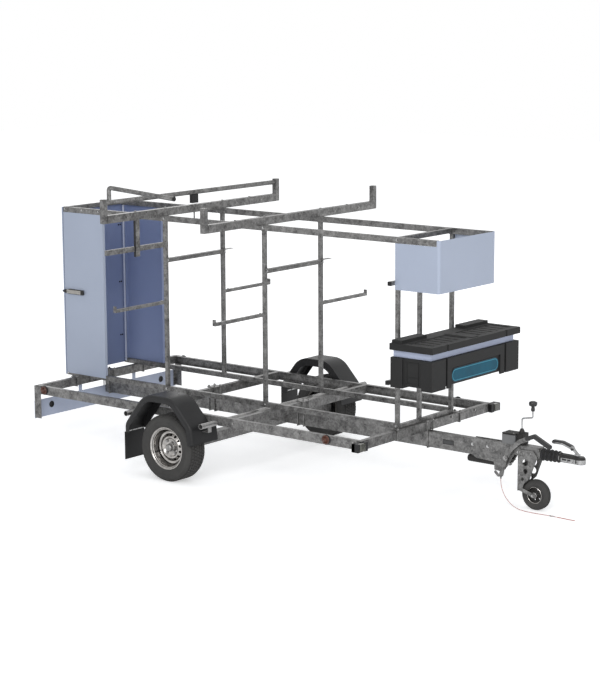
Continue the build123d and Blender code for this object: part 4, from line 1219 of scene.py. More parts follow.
@dataclass
class BreakawayCable:
    """The thin cable from the brake lever to the ground, with its snap hook and the sleeve on its tail."""

    axle_x: float = -0.6655
    diameter: float = 0.005
    length: float = 0.773
    lie: float = 3.9
    clip_lie: float = 5.5
    ground: float = 0.008
    wire: float = 0.0016
    hook_half: float = 0.0098
    hook_pinch: float = 0.0042
    hook_steps: int = 20
    hook_run: Flat = (2.887, 2.925)
    sleeve_from: float = 2.947
    sleeve_radius: float = 0.0034
    bore: float = 0.0026
    rib: float = 0.0004

    def route(self) -> list[Point]:
        """The cable's control points, from the lever's eyelet down and along the ground."""
        z = self.lie
        hook_z = self.clip_lie
        route = (
            (2440, -68, 206), (2440, -68, 170), (2454, -71, 128), (2476, -75, 90), (2508, -81, 56),
            (2550, -88, 28), (2600, -95, 10), (2655, -101, z), (2712, -108, z), (2770, -110, z),
            (2826, -104, z), (2878, -105, hook_z), (2934, -105, hook_z), (2990, -103, z), (3045, -106, z),
            (3097, -105, z),
        )
        return [(x * MM + self.axle_x, y * MM, height * MM) for x, y, height in route]

    def build(self) -> None:
        """Makes the cable, the hook and the sleeve."""
        data = bpy.data.curves.new("breakaway_cable", "CURVE")
        data.dimensions = "3D"
        line = data.splines.new("NURBS")
        route = self.route()
        line.points.add(len(route) - 1)
        for spot, point in zip(line.points, route):
            spot.co = (*point, 1.0)
        line.order_u = 3
        line.use_endpoint_u = True
        line.resolution_u = 12
        cable = linked("breakaway_cable", data)
        bare = bpy.data.meshes.new_from_object(cable)
        middle = [vertex.co.copy() for vertex in bare.vertices]
        data.bevel_depth = self.diameter / 2
        data.bevel_resolution = 4
        data.use_fill_caps = True
        placed(cable, CABLE_RED, replaces=("cable",))
        pieces = [self.hook(middle), self.sleeve(middle)]

    def between(self, middle: Sequence[Vector], first: float, last: float) -> list[Vector]:
        """The cable's middle line between two places along X on the ground, counted from the axle.

        Args:
            middle: The whole middle line.
            first: Where it starts, in metres ahead of the axle.
            last: Where it ends.

        Returns:
            The points.
        """
        return [p for p in middle if p.z < self.ground and first <= p.x - self.axle_x <= last]

    def hook(self, middle: Sequence[Vector]) -> bpy.types.Object:
        """The wire snap hook: a long pinched loop round the cable, with a crimp at each end.

        Args:
            middle: The cable's middle line.

        Returns:
            The hook.
        """
        run = self.between(middle, *self.hook_run)
        start, end = run[0], run[-1]
        shape = Shape()
        for turn in (-1, 1):
            loop = []
            for i in range(self.hook_steps + 1):
                share = i / self.hook_steps
                spot = start.lerp(end, share)
                spot.y += turn * (self.hook_pinch + self.hook_half * math.sin(math.pi * share) ** 0.8)
                loop.append(spot)
            shape.tube(loop, self.wire, 8)
        crimp = [(0.0027, -0.006), (0.0042, -0.005), (0.0046, 0.0), (0.0042, 0.005), (0.0027, 0.006)]
        for spot in (start, end):
            shape.ring(crimp, tuple(spot + Vector((0, 0, self.wire / 2))), "X", 20)
        piece = smoothed(shape.object("cable_hook"), 50.0)
        return placed(piece, BRIGHT_STEEL, replaces=("cable_clip",))

    def sleeve(self, middle: Sequence[Vector]) -> bpy.types.Object:
        """The ribbed red sleeve over the cable's tail.

        Args:
            middle: The cable's middle line.

        Returns:
            The sleeve.
        """
        run = self.between(middle, self.sleeve_from, math.inf)
        shape = Shape().tube(run, self.sleeve_radius, 14)
        for spot in run[1:-1:2]:
            rib = mirrored([(self.bore, -0.0016), (self.sleeve_radius, -0.0016)])
            rib.insert(2, (self.sleeve_radius + self.rib, 0.0))
            shape.ring(rib, tuple(spot), "X", 14)
        return placed(smoothed(shape.object("cable_sleeve"), 60.0), CABLE_RED)


# ---------------------------------------------------------------- CAD nodes with softer edges
@dataclass
class NodeCoat:
    """Gives CAD nodes their finish, and rounds the edges of those that need it."""

    edge: float = 0.0012

    def soften(
        self, finish: Finish, name: str, slot: str, body: str = "trailer", edge: float = 0.0
    ) -> bpy.types.Object:
        """Stands a copy with rounded edges in a node's place.

        Args:
            finish: The finish.
            name: The node.
            slot: Not used.
            body: The body that it rides on.
            edge: The rounding's width, or 0 for the class's own.

        Returns:
            The piece.
        """
        PALETTE.dress(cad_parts[name], finish)
        piece = softened(Shape().copied(name).object(name + "_skin"), edge or self.edge)
        return placed(piece, finish, body, (name,))


# ---------------------------------------------------------------- running gear
@dataclass
class RoadWheel:
    """A road wheel: tyre with tread blocks, pressed rim with vent holes, drum, bolts, cap and valve."""

    side: Side
    tread: TreadTree
    hardware: Hardware
    blocks: int = 64
    block_rows: tuple[Flat, ...] = ((0.0, 0.5), (-0.027, 0.0), (0.027, 0.0), (-0.055, 0.5), (0.055, 0.5))
    block_size: Point = (0.0205, 0.0225, 0.0085)
    block_sink: float = 0.001
    base_radius: float = 0.256
    lug_size: Point = (0.0175, 0.019, 0.008)
    lug_radius: float = 0.2485
    lug_out: float = 0.083
    lug_tilt: Flat = (0.72, 0.69)
    vent_radius: float = 0.0102
    vent_ring: float = 0.0985
    vents: int = 14
    bolt_ring: float = 0.062
    bolt_head: float = 0.0098
    valve_ring: float = 0.1235
    valve_angle: float = 200.0

    def __post_init__(self) -> None:
        """Finds the wheel's centre in the frame."""
        low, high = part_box("tyre_" + self.side.word)
        self.centre = tuple((a + b) / 2 for a, b in zip(low, high))
        self.body = "wheel_" + self.side.word

    def section(self, points: Sequence[Flat]) -> list[Flat]:
        """A profile given in millimetres as radius and distance outwards, turned to this wheel's side."""
        return [(radius * MM, self.side.value * out * MM) for radius, out in points]

    def turned(self, name: str, points: Sequence[Flat], steps: int = 128) -> bpy.types.Object:
        """A closed profile in millimetres turned about the axle."""
        return Shape().ring(self.section(points), self.centre, "Y", steps).object(name)

    def build(self) -> None:
        """Makes the whole wheel."""
        self.tyre()
        self.treads()
        self.rim()
        self.disc()
        self.drum()
        self.bolts()
        self.valve()

    def tyre(self) -> None:
        """The carcass, with its bead, rim guard, stepped sidewalls and tread base."""
        half = [
            (152.8, 73), (166, 75), (169, 79.5), (174, 80.5), (177, 84.5), (182, 87), (188, 90), (198, 94.2),
            (206, 95.4), (207, 94.2), (209, 94.4), (216, 97.4), (230, 97.2), (236, 95.6), (238, 94),
            (244, 91), (250, 85.5), (254, 79), (256, 70),
        ]
        piece = smoothed(self.turned(f"tyre_{self.side.word}_skin", mirrored(half)), 28.0)
        placed(piece, TYRE_RUBBER, self.body, ("tyre_" + self.side.word,))

    def treads(self) -> None:
        """Five rows of tread blocks and the lugs of both shoulders."""
        step = 360.0 / self.blocks
        middle = self.base_radius + self.block_size[2] / 2 - self.block_sink
        rows = Seeds()
        for along, shift in self.block_rows:
            for spot, out in around(self.centre, middle, self.blocks, along, shift * step):
                rows.dot(spot, out)
        lugs = Seeds()
        up, aside = self.lug_tilt
        for side in (-1, 1):
            along = side * self.lug_out
            for spot, out in around(self.centre, self.lug_radius, self.blocks, along, 0.25 * step):
                lugs.dot(spot, (out[0] * up, side * aside, out[2] * up))
        rings = (("blocks", rows, self.block_size), ("lugs", lugs, self.lug_size))
        for name, seeds, (long, wide, high) in rings:
            self.tread.grow(
                f"tread_{name}_{self.side.word}", seeds, TYRE_RUBBER, self.body, "tyre_rubber", Length=long,
                Width=wide, Height=high,
            )

    def rim(self) -> None:
        """The barrel with its drop well, in a near-black finish that is painted shade on the chrome, and the
        bright lip and bead seat outside it.
        """
        barrel = [
            (152, 74), (158, 74), (158, 71), (151, 69), (148, 66), (147.5, 54), (144, 48), (130, 38),
            (127.5, 34), (127.5, -20), (130, -26), (147.5, -48), (148, -76), (159, -81), (163, -82),
            (167, -79), (163, -74), (152, -74), (152, -50), (133, -24), (133, 36), (152, 52),
        ]
        lip = [
            (153, 74.4), (162, 74.2), (166, 76), (167.4, 78.6), (166.4, 81), (163, 82), (159.5, 81),
            (157, 77.5), (154.5, 75),
        ]
        seat = [
            (151.5, 69.5), (148.5, 69), (146.2, 66), (142.6, 49.5), (141, 46), (144, 45.5), (148, 52),
        ]
        parts = (
            ("barrel", barrel, WHEEL_SHADE_DARK, ("rim_" + self.side.word,)), ("lip", lip, WHEEL_SILVER, ()),
            ("seat", seat, WHEEL_SILVER, ()),
        )
        for name, section, finish, nodes in parts:
            piece = self.turned(f"rim_{name}_{self.side.word}", section)
            placed(smoothed(piece, 50.0), finish, self.body, nodes)

    def disc(self) -> None:
        """The hat-shaped disc, with a ring of round vent holes and a pressed bead round the bolts."""
        face = [
            (36, 16), (46, 16), (48, 17.6), (52, 18.4), (62, 18.4), (66, 20), (71, 27), (76, 31.6),
            (81, 33.4), (86, 32.4), (90, 29.5), (107, 14.5), (111, 12.5), (117, 12.5), (122, 15),
            (127.8, 19),
        ]
        back = [(radius, out - 5) for radius, out in reversed(face)]
        holes = Shape()
        for spot, _ in around(self.centre, self.vent_ring, self.vents, self.side.value * 0.028, 11.25):
            holes.drill(self.vent_radius, 0.018, spot)
        piece = cut(self.turned("rim_disc_" + self.side.word, face + back), holes)
        placed(smoothed(piece, 40.0), WHEEL_SILVER, self.body)

    def drum(self) -> None:
        """The brake drum behind the disc, and the bright grease cap in the middle."""
        drum = [
            (18.2, -62), (107, -62), (107, -82), (112.5, -82), (115, -80), (115, -66), (112, -64),
            (112, -38), (115, -36), (115, -22), (113, -20), (90, -14), (82, 6), (78, 10.6), (35.4, 10.6),
            (35.4, 13), (18.2, 13),
        ]
        piece = smoothed(self.turned("drum_" + self.side.word, drum, 96), 40.0)
        placed(piece, DRUM_IRON, self.body, ("brake_drum_" + self.side.word,))
        cap = [
            (35.2, 11), (35.2, 27), (34, 29.5), (30.5, 30.5), (29.5, 33), (29.5, 50), (28, 55), (23, 59.5),
            (14, 61.8),
        ]
        shape = Shape().disc(self.section(cap), self.centre, "Y", 64)
        piece = smoothed(shape.object("hub_cap_" + self.side.word), 50.0)
        placed(piece, BRIGHT_ZINC, self.body)

    def bolts(self) -> None:
        """The four wheel bolts, each on its cone."""
        out = self.side.value
        cone = self.section([(12.5, -4.5), (12.5, -1), (9.5, 1)])
        seeds = Seeds()
        cones = Shape()
        for spot, _ in around(self.centre, self.bolt_ring, 4, out * 0.022, 45.0):
            seeds.dot(spot, (0, out, 0))
            cones.disc(cone, spot, "Y", 24)
        self.hardware.bolts("wheel_bolts_" + self.side.word, seeds, self.bolt_head, BRIGHT_ZINC, self.body)
        piece = smoothed(cones.object("bolt_cones_" + self.side.word), 40.0)
        placed(piece, BRIGHT_ZINC, self.body)

    def valve(self) -> None:
        """The valve's rubber stem and its cap."""
        out = self.side.value
        (x, y, z), _ = around(self.centre, self.valve_ring, 1, out * 0.025, self.valve_angle)[0]
        tip = y + out * 0.034
        stem = Shape().tube(((x, y, z), (x, tip, z)), 0.0046, 14)
        stem.tube(((x, tip, z), (x, tip + out * 0.007, z)), 0.0036, 14)
        placed(smoothed(stem.object("valve_" + self.side.word)), SOFT_RUBBER, self.body)


@dataclass
class Mudguards:
    """The two moulded mudguards: a bent band with a rolled shoulder, a deep lip, a skirt, a flap and fixings.

    The route is the middle of the wall, as distances ahead of the axle and heights.
    """

    hardware: Hardware
    route: tuple[Flat, ...] = (
        (-0.407, 0.346), (-0.407, 0.415), (-0.205, 0.672), (0.095, 0.672), (0.283, 0.470), (0.302, 0.332)
    )
    bends: tuple[float, ...] = (0.085, 0.19, 0.18, 0.12)
    half_wall: float = 0.002
    lip: float = 0.048
    inner_lip: float = 0.060
    shoulder: float = 0.020
    skirt_in: float = 0.075
    strip: Flat = (0.343, 0.352)
    strip_wall: float = 0.0022
    rivet_head: float = 0.0042

    def build(self) -> None:
        """Makes both guards and their fixings."""
        low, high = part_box("mudguards")
        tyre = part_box("tyre_left")
        axle_x = (tyre[0][0] + tyre[1][0]) / 2
        self.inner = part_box("side_rails")[1][1] + 0.005
        self.outer = high[1]
        path = [(axle_x + x, z) for x, z in bent(self.route, self.bends)]
        flap = self.strip[0] + 0.004
        guards = Shape()
        for side in (-1, 1):
            guards.loft(swept(path, [(side * y, out) for y, out in self.section()]))
            guards.block(side, (low[0], self.inner, low[2]), (low[0] + 2 * self.half_wall, self.outer, flap))
            self.skirt(guards, side, axle_x)
        piece = smoothed(guards.object("guard_skins"), 30.0)
        placed(piece, GUARD_BLACK, replaces=("mudguards",))
        self.fixings(low, high)

    def section(self) -> list[Flat]:
        """The left guard's section, as Y and the distance out from the wall's middle."""
        wall = self.half_wall
        centre = (self.outer - self.shoulder, wall - self.shoulder)
        return [
            (self.inner, wall), *arc(centre, self.shoulder, 90.0, 0.0, 6),
            (self.outer, -self.lip), (self.outer - 2 * wall, -self.lip),
            *arc(centre, self.shoulder - 2 * wall, 0.0, 90.0, 6), (self.inner + 2 * wall, -wall),
            (self.inner + 2 * wall, -self.inner_lip), (self.inner, -self.inner_lip),
        ]

    def skirt(self, guards: Shape, side: int, axle_x: float) -> None:
        """Adds the plate under the rail that carries the guard's front end.

        Args:
            guards: The shape to add to.
            side: The sign of Y.
            axle_x: The axle's place along X.
        """
        (x0, z0), (x1, z1) = self.route[-2:]
        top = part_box("spine")[1][2] - 0.007
        x_top = x1 + (top - z1) * (x0 - x1) / (z0 - z1)
        wall = self.half_wall
        outline = [(x_top - wall, top), (x1 - wall, z1), (x1 + wall, z1), (x_top + wall, top)]
        ends = (side * (self.inner - self.skirt_in), side * (self.inner + 0.001))
        guards.prism([(axle_x + x, z) for x, z in outline], "Y", *sorted(ends))

    def fixings(self, low: Point, high: Point) -> None:
        """The steel strips over the flaps' seams, and the rivets.

        Args:
            low: The guards' lowest corner.
            high: Their highest corner.
        """
        strips = Shape()
        rivets = Seeds()
        back = low[0] + 2 * self.half_wall
        face = back + self.strip_wall
        middle = sum(self.strip) / 2
        for side in (-1, 1):
            y0, y1 = sorted((side * (self.inner + 0.004), side * (self.outer - 0.008)))
            strips.box((back, y0, self.strip[0]), (face, y1, self.strip[1]))
            for share in (0.08, 0.36, 0.64, 0.92):
                rivets.dot((face, y0 + (y1 - y0) * share, middle), (1, 0, 0))
            for share in (0.42, 0.58):
                x = low[0] + (high[0] - low[0]) * share
                rivets.dot((x, side * (self.inner + 0.04), high[2] + 0.0001), (0, 0, 1))
        placed(strips.object("guard_strips"), BRIGHT_STEEL)
        self.hardware.bolts("guard_rivets", rivets, self.rivet_head, BRIGHT_ZINC)


# ---------------------------------------------------------------- toolbox and sign
@dataclass
class Toolbox:
    """The moulded toolbox: pillared body, pale collar, stepped lid and the blank plate on its front."""

    coat: NodeCoat
    wall_round: float = 0.0035
    panel_depth: float = 0.014
    tray_ribs: tuple[float, ...] = (0.14, 0.22, 0.30, 0.38, 0.46)
    rib_half: float = 0.009
    hinge_y: float = 0.36
    hinge_half: float = 0.04
    sign_border: float = 0.0055
    sign_skin: float = 0.0012

    def build(self) -> None:
        """Makes every piece of the toolbox."""
        self.coat.soften(BOX_BLACK, "toolbox_body", "black_plastic", edge=self.wall_round)
        self.coat.soften(COLLAR_BLUE, "toolbox_neck", "collar_blue", edge=0.002)
        self.coat.soften(BOX_BLACK, "toolbox_lid", "black_plastic", "lid", self.wall_round)
        self.ends()
        self.lid_ribs()
        self.hinges()
        self.sign()

    def ends(self) -> None:
        """The raised frames and ledges on both end panels, and the two moulded stops at the rear."""
        low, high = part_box("toolbox_body")
        bottom, top = low[2] + 0.034, high[2] - 0.024
        x0, x1 = low[0] + 0.135, high[0] - 0.125
        face = high[1] - self.panel_depth
        ledges = Shape()
        for side in (-1, 1):
            for z0, z1 in ((bottom, bottom + 0.008), (low[2] + 0.084, low[2] + 0.091), (top - 0.006, top)):
                ledges.block(side, (x0, face - 0.002, z0), (x1, face + 0.004, z1))
            for x in (x0, x1 - 0.006):
                ledges.block(side, (x, face - 0.002, bottom), (x + 0.006, face + 0.004, top))
            stop = low[2] + 0.016
            ledges.block(side, (low[0] - 0.016, face, stop), (low[0] + 0.001, high[1], stop + 0.030))
        placed(softened(ledges.object("toolbox_ledges"), 0.0015), BOX_BLACK)

    def lid_ribs(self) -> None:
        """Shallow ribs in the lid's two trays and a raised band between them."""
        low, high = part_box("toolbox_lid")
        floor = low[2] + 0.043
        rear, front = high[0] - 0.24, high[0] - 0.066
        half = self.rib_half
        ribs = Shape()
        for side in (-1, 1):
            for y in self.tray_ribs:
                ribs.block(side, (rear, y - half, floor - 0.002), (front, y + half, floor + 0.0035))
        ribs.box((low[0] + 0.11, -0.045, floor + 0.006), (high[0] - 0.02, 0.045, floor + 0.0105))
        placed(softened(ribs.object("lid_ribs"), 0.002), BOX_BLACK, "lid")

    def hinges(self) -> None:
        """Two hinge rods along the lid's rear edge."""
        low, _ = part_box("toolbox_lid")
        x, z = low[0] + 0.003, low[2] + 0.004
        rods = Shape()
        for y in (-self.hinge_y, self.hinge_y):
            rods.tube(((x, y - self.hinge_half, z), (x, y + self.hinge_half, z)), 0.0035, 12)
        placed(smoothed(rods.object("lid_hinge_rods")), BOX_BLACK, "lid")

    def sign(self) -> None:
        """The blank plate: a dark edge, a light line set in from it and a blue field."""
        low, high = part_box("sign_plate")
        centre = ((low[1] + high[1]) / 2, (low[2] + high[2]) / 2)
        width, height = high[1] - low[1], high[2] - low[2]
        stack = (
            ("sign_edge", PLATE_EDGE, 0.0, 0.0, ("sign_plate",)), ("sign_rim", PLATE_BLUE, 0.003, 0.0004, ()),
            ("sign_line", PLATE_LINE, self.sign_border * 1.6, 0.0008, ()),
            ("sign_field", PLATE_BLUE, self.sign_border * 2.5, 0.0012, ()),
        )
        for name, finish, inset, proud, nodes in stack:
            wide, tall = width - 2 * inset, height - 2 * inset
            outline = rounded(wide, tall, tall / 2 - 0.0005, 14, centre)
            shape = Shape().prism(outline, "X", low[0] + proud / 2, high[0] + proud - self.sign_skin)
            placed(shape.object(name), finish, replaces=nodes)


# ---------------------------------------------------------------- cabinet, door and fairing
@dataclass
class Cabinet:
    """The rear cabinet's panels, its door, hinges and latch, and the front fairing."""

    coat: NodeCoat
    hardware: Hardware
    sheet_round: float = 0.0009
    skin: float = 0.0012
    post: float = 0.03
    gap_light_above: float = 0.16
    panel_rivets: int = 5
    hinge_heights: Point = (1.752, 1.253, 0.783)
    screw_y: Flat = (0.318, 0.296)
    door_ribs: Point = (-0.18, 0.0, 0.18)

    def build(self) -> None:
        """Makes the panels, the corner cover, the fixings and the latch."""
        sides = self.coat.soften(SHEET_BLUE, "cabinet_sides", "panel_blue", edge=self.sheet_round)
        # The inner faces of the sides and the door take the darker blue, which is painted shade.
        lined(sides, INNER_SHADE_BLUE, lambda at, n: at.y * n.y < -0.5 * abs(at.y) or (at.y > 0 and n.x > 0.5))
        door = self.coat.soften(SHEET_BLUE, "rear_door", "panel_blue", "door", self.sheet_round)
        lined(door, INNER_SHADE_BLUE, lambda at, n: n.x > 0.5)
        self.coat.soften(SHEET_BLUE, "front_fairing", "panel_blue", edge=self.sheet_round)
        self.coat.soften(BRIGHT_ZINC, "door_hinges", "bright_steel", edge=0.0008)
        self.corner()
        self.bolts()
        self.screws()
        self.ribs()
        self.latch()

    def corner(self) -> None:
        """The folded blue cover over the left rear post, with a pale strip along the door's edge that is
        painted light from the backdrop seen through the gap there.
        """
        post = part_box("rack_posts")
        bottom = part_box("cabinet_sides")[0][2]
        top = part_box("top_rails")[0][2] - 0.001
        x0, x1 = post[0][0], post[0][0] + self.post
        y0, y1 = post[1][1] - self.post, post[1][1]
        face = y0 - self.skin
        cover = Shape().box((x0, face, bottom), (x1 + self.skin, y0, top))
        cover.box((x1, face, bottom), (x1 + self.skin, y1, top))
        # The cover sits inside the cabinet and takes the darker blue as painted shade.
        placed(cover.object("corner_cover"), INNER_SHADE_BLUE)
        # The pale strip stands where the backdrop shows through the gap by the door: painted light.
        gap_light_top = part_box("door_hinges")[1][2] + self.gap_light_above
        gap_light = Shape().box((x0 + 0.012, face - 0.001, bottom), (x1, face + 0.0002, gap_light_top))
        placed(gap_light.object("door_gap_light"), GAP_LIGHT_WHITE)

    def bolts(self) -> None:
        """Bolts through the top rail and the panels' rivets."""
        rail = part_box("top_rails")[1]
        low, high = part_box("cabinet_sides")
        bolts = Seeds()
        rivets = Seeds()
        rise = (high[2] - low[2] - 0.12) / (self.panel_rivets - 1)
        for side in (-1, 1):
            for x in (low[0] + 0.022, (low[0] + high[0]) / 2 - 0.008, high[0] - 0.046):
                bolts.dot((x, side * rail[1], rail[2] - 0.018), (0, side, 0))
            for x in (low[0] + 0.018, high[0] - 0.016):
                for k in range(self.panel_rivets):
                    rivets.dot((x, side * high[1], low[2] + 0.06 + k * rise), (0, side, 0))
        self.hardware.bolts("cabinet_bolts", bolts, 0.0075, BRIGHT_STEEL)
        self.hardware.bolts("panel_rivets", rivets, 0.0034, SHEET_BLUE, slot="panel_blue")

    def screws(self) -> None:
        """Screws through the door where its hinges sit."""
        inner_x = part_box("cabinet_sides")[0][0] - 0.0019
        screws = Seeds()
        for z in self.hinge_heights:
            for y in self.screw_y:
                screws.dot((inner_x, y, z), (1, 0, 0))
        self.hardware.bolts("hinge_screws", screws, 0.0055, DRUM_IRON, "door", "dark_iron")

    def ribs(self) -> None:
        """Pressed ribs down the outside of the door."""
        low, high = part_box("rear_door")
        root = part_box("cabinet_sides")[0][0] - 0.0073
        crest = root - 0.0035
        ribs = Shape()
        for y in self.door_ribs:
            section = [(crest, y - 0.014), (crest, y + 0.014), (root, y + 0.020), (root, y - 0.020)]
            ribs.prism(section, "Z", low[2] + 0.09, high[2] - 0.09)
        placed(softened(ribs.object("door_ribs"), 0.002), SHEET_BLUE, "door")

    def latch(self) -> None:
        """The over-centre latch: dark base and ends, a pale lever and its rivets."""
        low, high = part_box("door_latch")
        middle = (low[2] + high[2]) / 2
        rear, front, outer = low[0], high[0], low[1]
        base = Shape()
        for x0, x1, y0, y1, half in (
            (rear + 0.058, front - 0.012, outer + 0.008, high[1], 0.020),
            (front - 0.034, front, outer + 0.002, outer + 0.013, 0.017),
            (rear, rear + 0.05, outer + 0.003, outer + 0.010, 0.009),
            (rear + 0.02, rear + 0.046, outer + 0.002, outer + 0.014, 0.015),
        ):
            base.box((x0, y0, middle - half), (x1, y1, middle + half))
        piece = softened(base.object("latch_base"), 0.0015)
        placed(piece, DRUM_IRON, replaces=("door_latch",))
        lever = Shape().box(
            (rear + 0.044, outer, middle - 0.016), (front - 0.032, outer + 0.012, middle + 0.016)
        )
        placed(softened(lever.object("latch_lever"), 0.0035, 3), LATCH_BEIGE)
        rivets = Seeds()
        for x in (rear + 0.058, front - 0.048):
            rivets.dot((x, outer + 0.0002, middle), (0, -1, 0))
        self.hardware.bolts("latch_rivets", rivets, 0.004, BRIGHT_ZINC)


# ---------------------------------------------------------------- roof beams and clamp roller
@dataclass
class RoofGear:
    """The clamp roller with its bent lever, the rubber pad and the beams' fixings."""

    hardware: Hardware
    roller_radius: float = 0.019
    pin_radius: float = 0.0115
    lever_y: float = -0.990
    lever_radius: float = 0.018
    lever_fall: float = 0.045
    bend_radius: float = 0.022
    beam_bolts: float = 0.697
    beam_screws: tuple[float, ...] = (-0.82, -0.5, 0.5, 0.82)

    def build(self) -> None:
        """Makes the roller, the pad, the end plug and the bolts."""
        low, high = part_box("clamp_roller")
        pad_low, pad_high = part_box("roller_pad")
        x, z = (pad_low[0] + pad_high[0]) / 2, low[2] + self.roller_radius
        top, far = high[2] - self.lever_radius, high[0] - self.lever_radius
        end, drum, pin = high[1], self.roller_radius, self.pin_radius
        half = [
            (0.0, -end), (pin, -end), (pin, 0.004 - end), (drum - 0.0015, 0.004 - end), (drum, 0.006 - end),
        ]
        roller = Shape().ring(mirrored(half), (x, 0.0, z), "Y", 32)
        roller.tube(self.lever_path(x, z, top, far), self.lever_radius, 24)
        piece = smoothed(roller.object("roller_tube"), 45.0)
        placed(piece, GALVANISED, "roof_clamp", ("clamp_roller",))
        pad = softened(Shape().copied("roller_pad").object("pad_rubber"), 0.003, 3)
        placed(pad, SOFT_RUBBER, "roof_clamp", ("roller_pad",))
        rim = self.lever_radius + 0.0006
        plug = Shape().disc(
            [(rim - 0.0026, -0.002), (rim, 0.0), (rim, 0.004), (0.012, 0.007)],
            (far + 0.004, self.lever_y, top - self.lever_fall + 0.0002), "X", 24,
        )
        placed(smoothed(plug.object("lever_plug")), SOFT_RUBBER, "roof_clamp")
        self.bolts()

    def lever_path(self, x: float, z: float, top: float, far: float) -> list[Point]:
        """The lever's middle line: up from the roller, round a bend and forwards with a slight fall.

        Args:
            x: Where the roller is along X.
            z: The roller's height.
            top: The height of the lever's bend.
            far: Where it ends along X.

        Returns:
            The points.
        """
        r = self.bend_radius
        points = [(x, z), *arc((x + r, top - r), r, 180.0, 86.0, 12), (far, top - self.lever_fall)]
        return [(along, self.lever_y, height) for along, height in points]

    def bolts(self) -> None:
        """Bolts that hold the roof beams to the top rails, and the screws through their front faces."""
        low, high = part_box("roof_beams")
        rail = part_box("top_rails")[1]
        deck = rail[2] + 0.062
        heads = Seeds()
        for x in (low[0] + 0.025, high[0] - 0.025):
            for y in (0.015 - rail[1], rail[1] - 0.015, -self.beam_bolts, self.beam_bolts):
                heads.dot((x, y, deck), (0, 0, 1))
            for y in self.beam_screws:
                heads.dot((x + 0.025, y, deck - 0.031), (1, 0, 0))
        self.hardware.bolts("beam_bolts", heads, 0.0085, BRIGHT_ZINC)


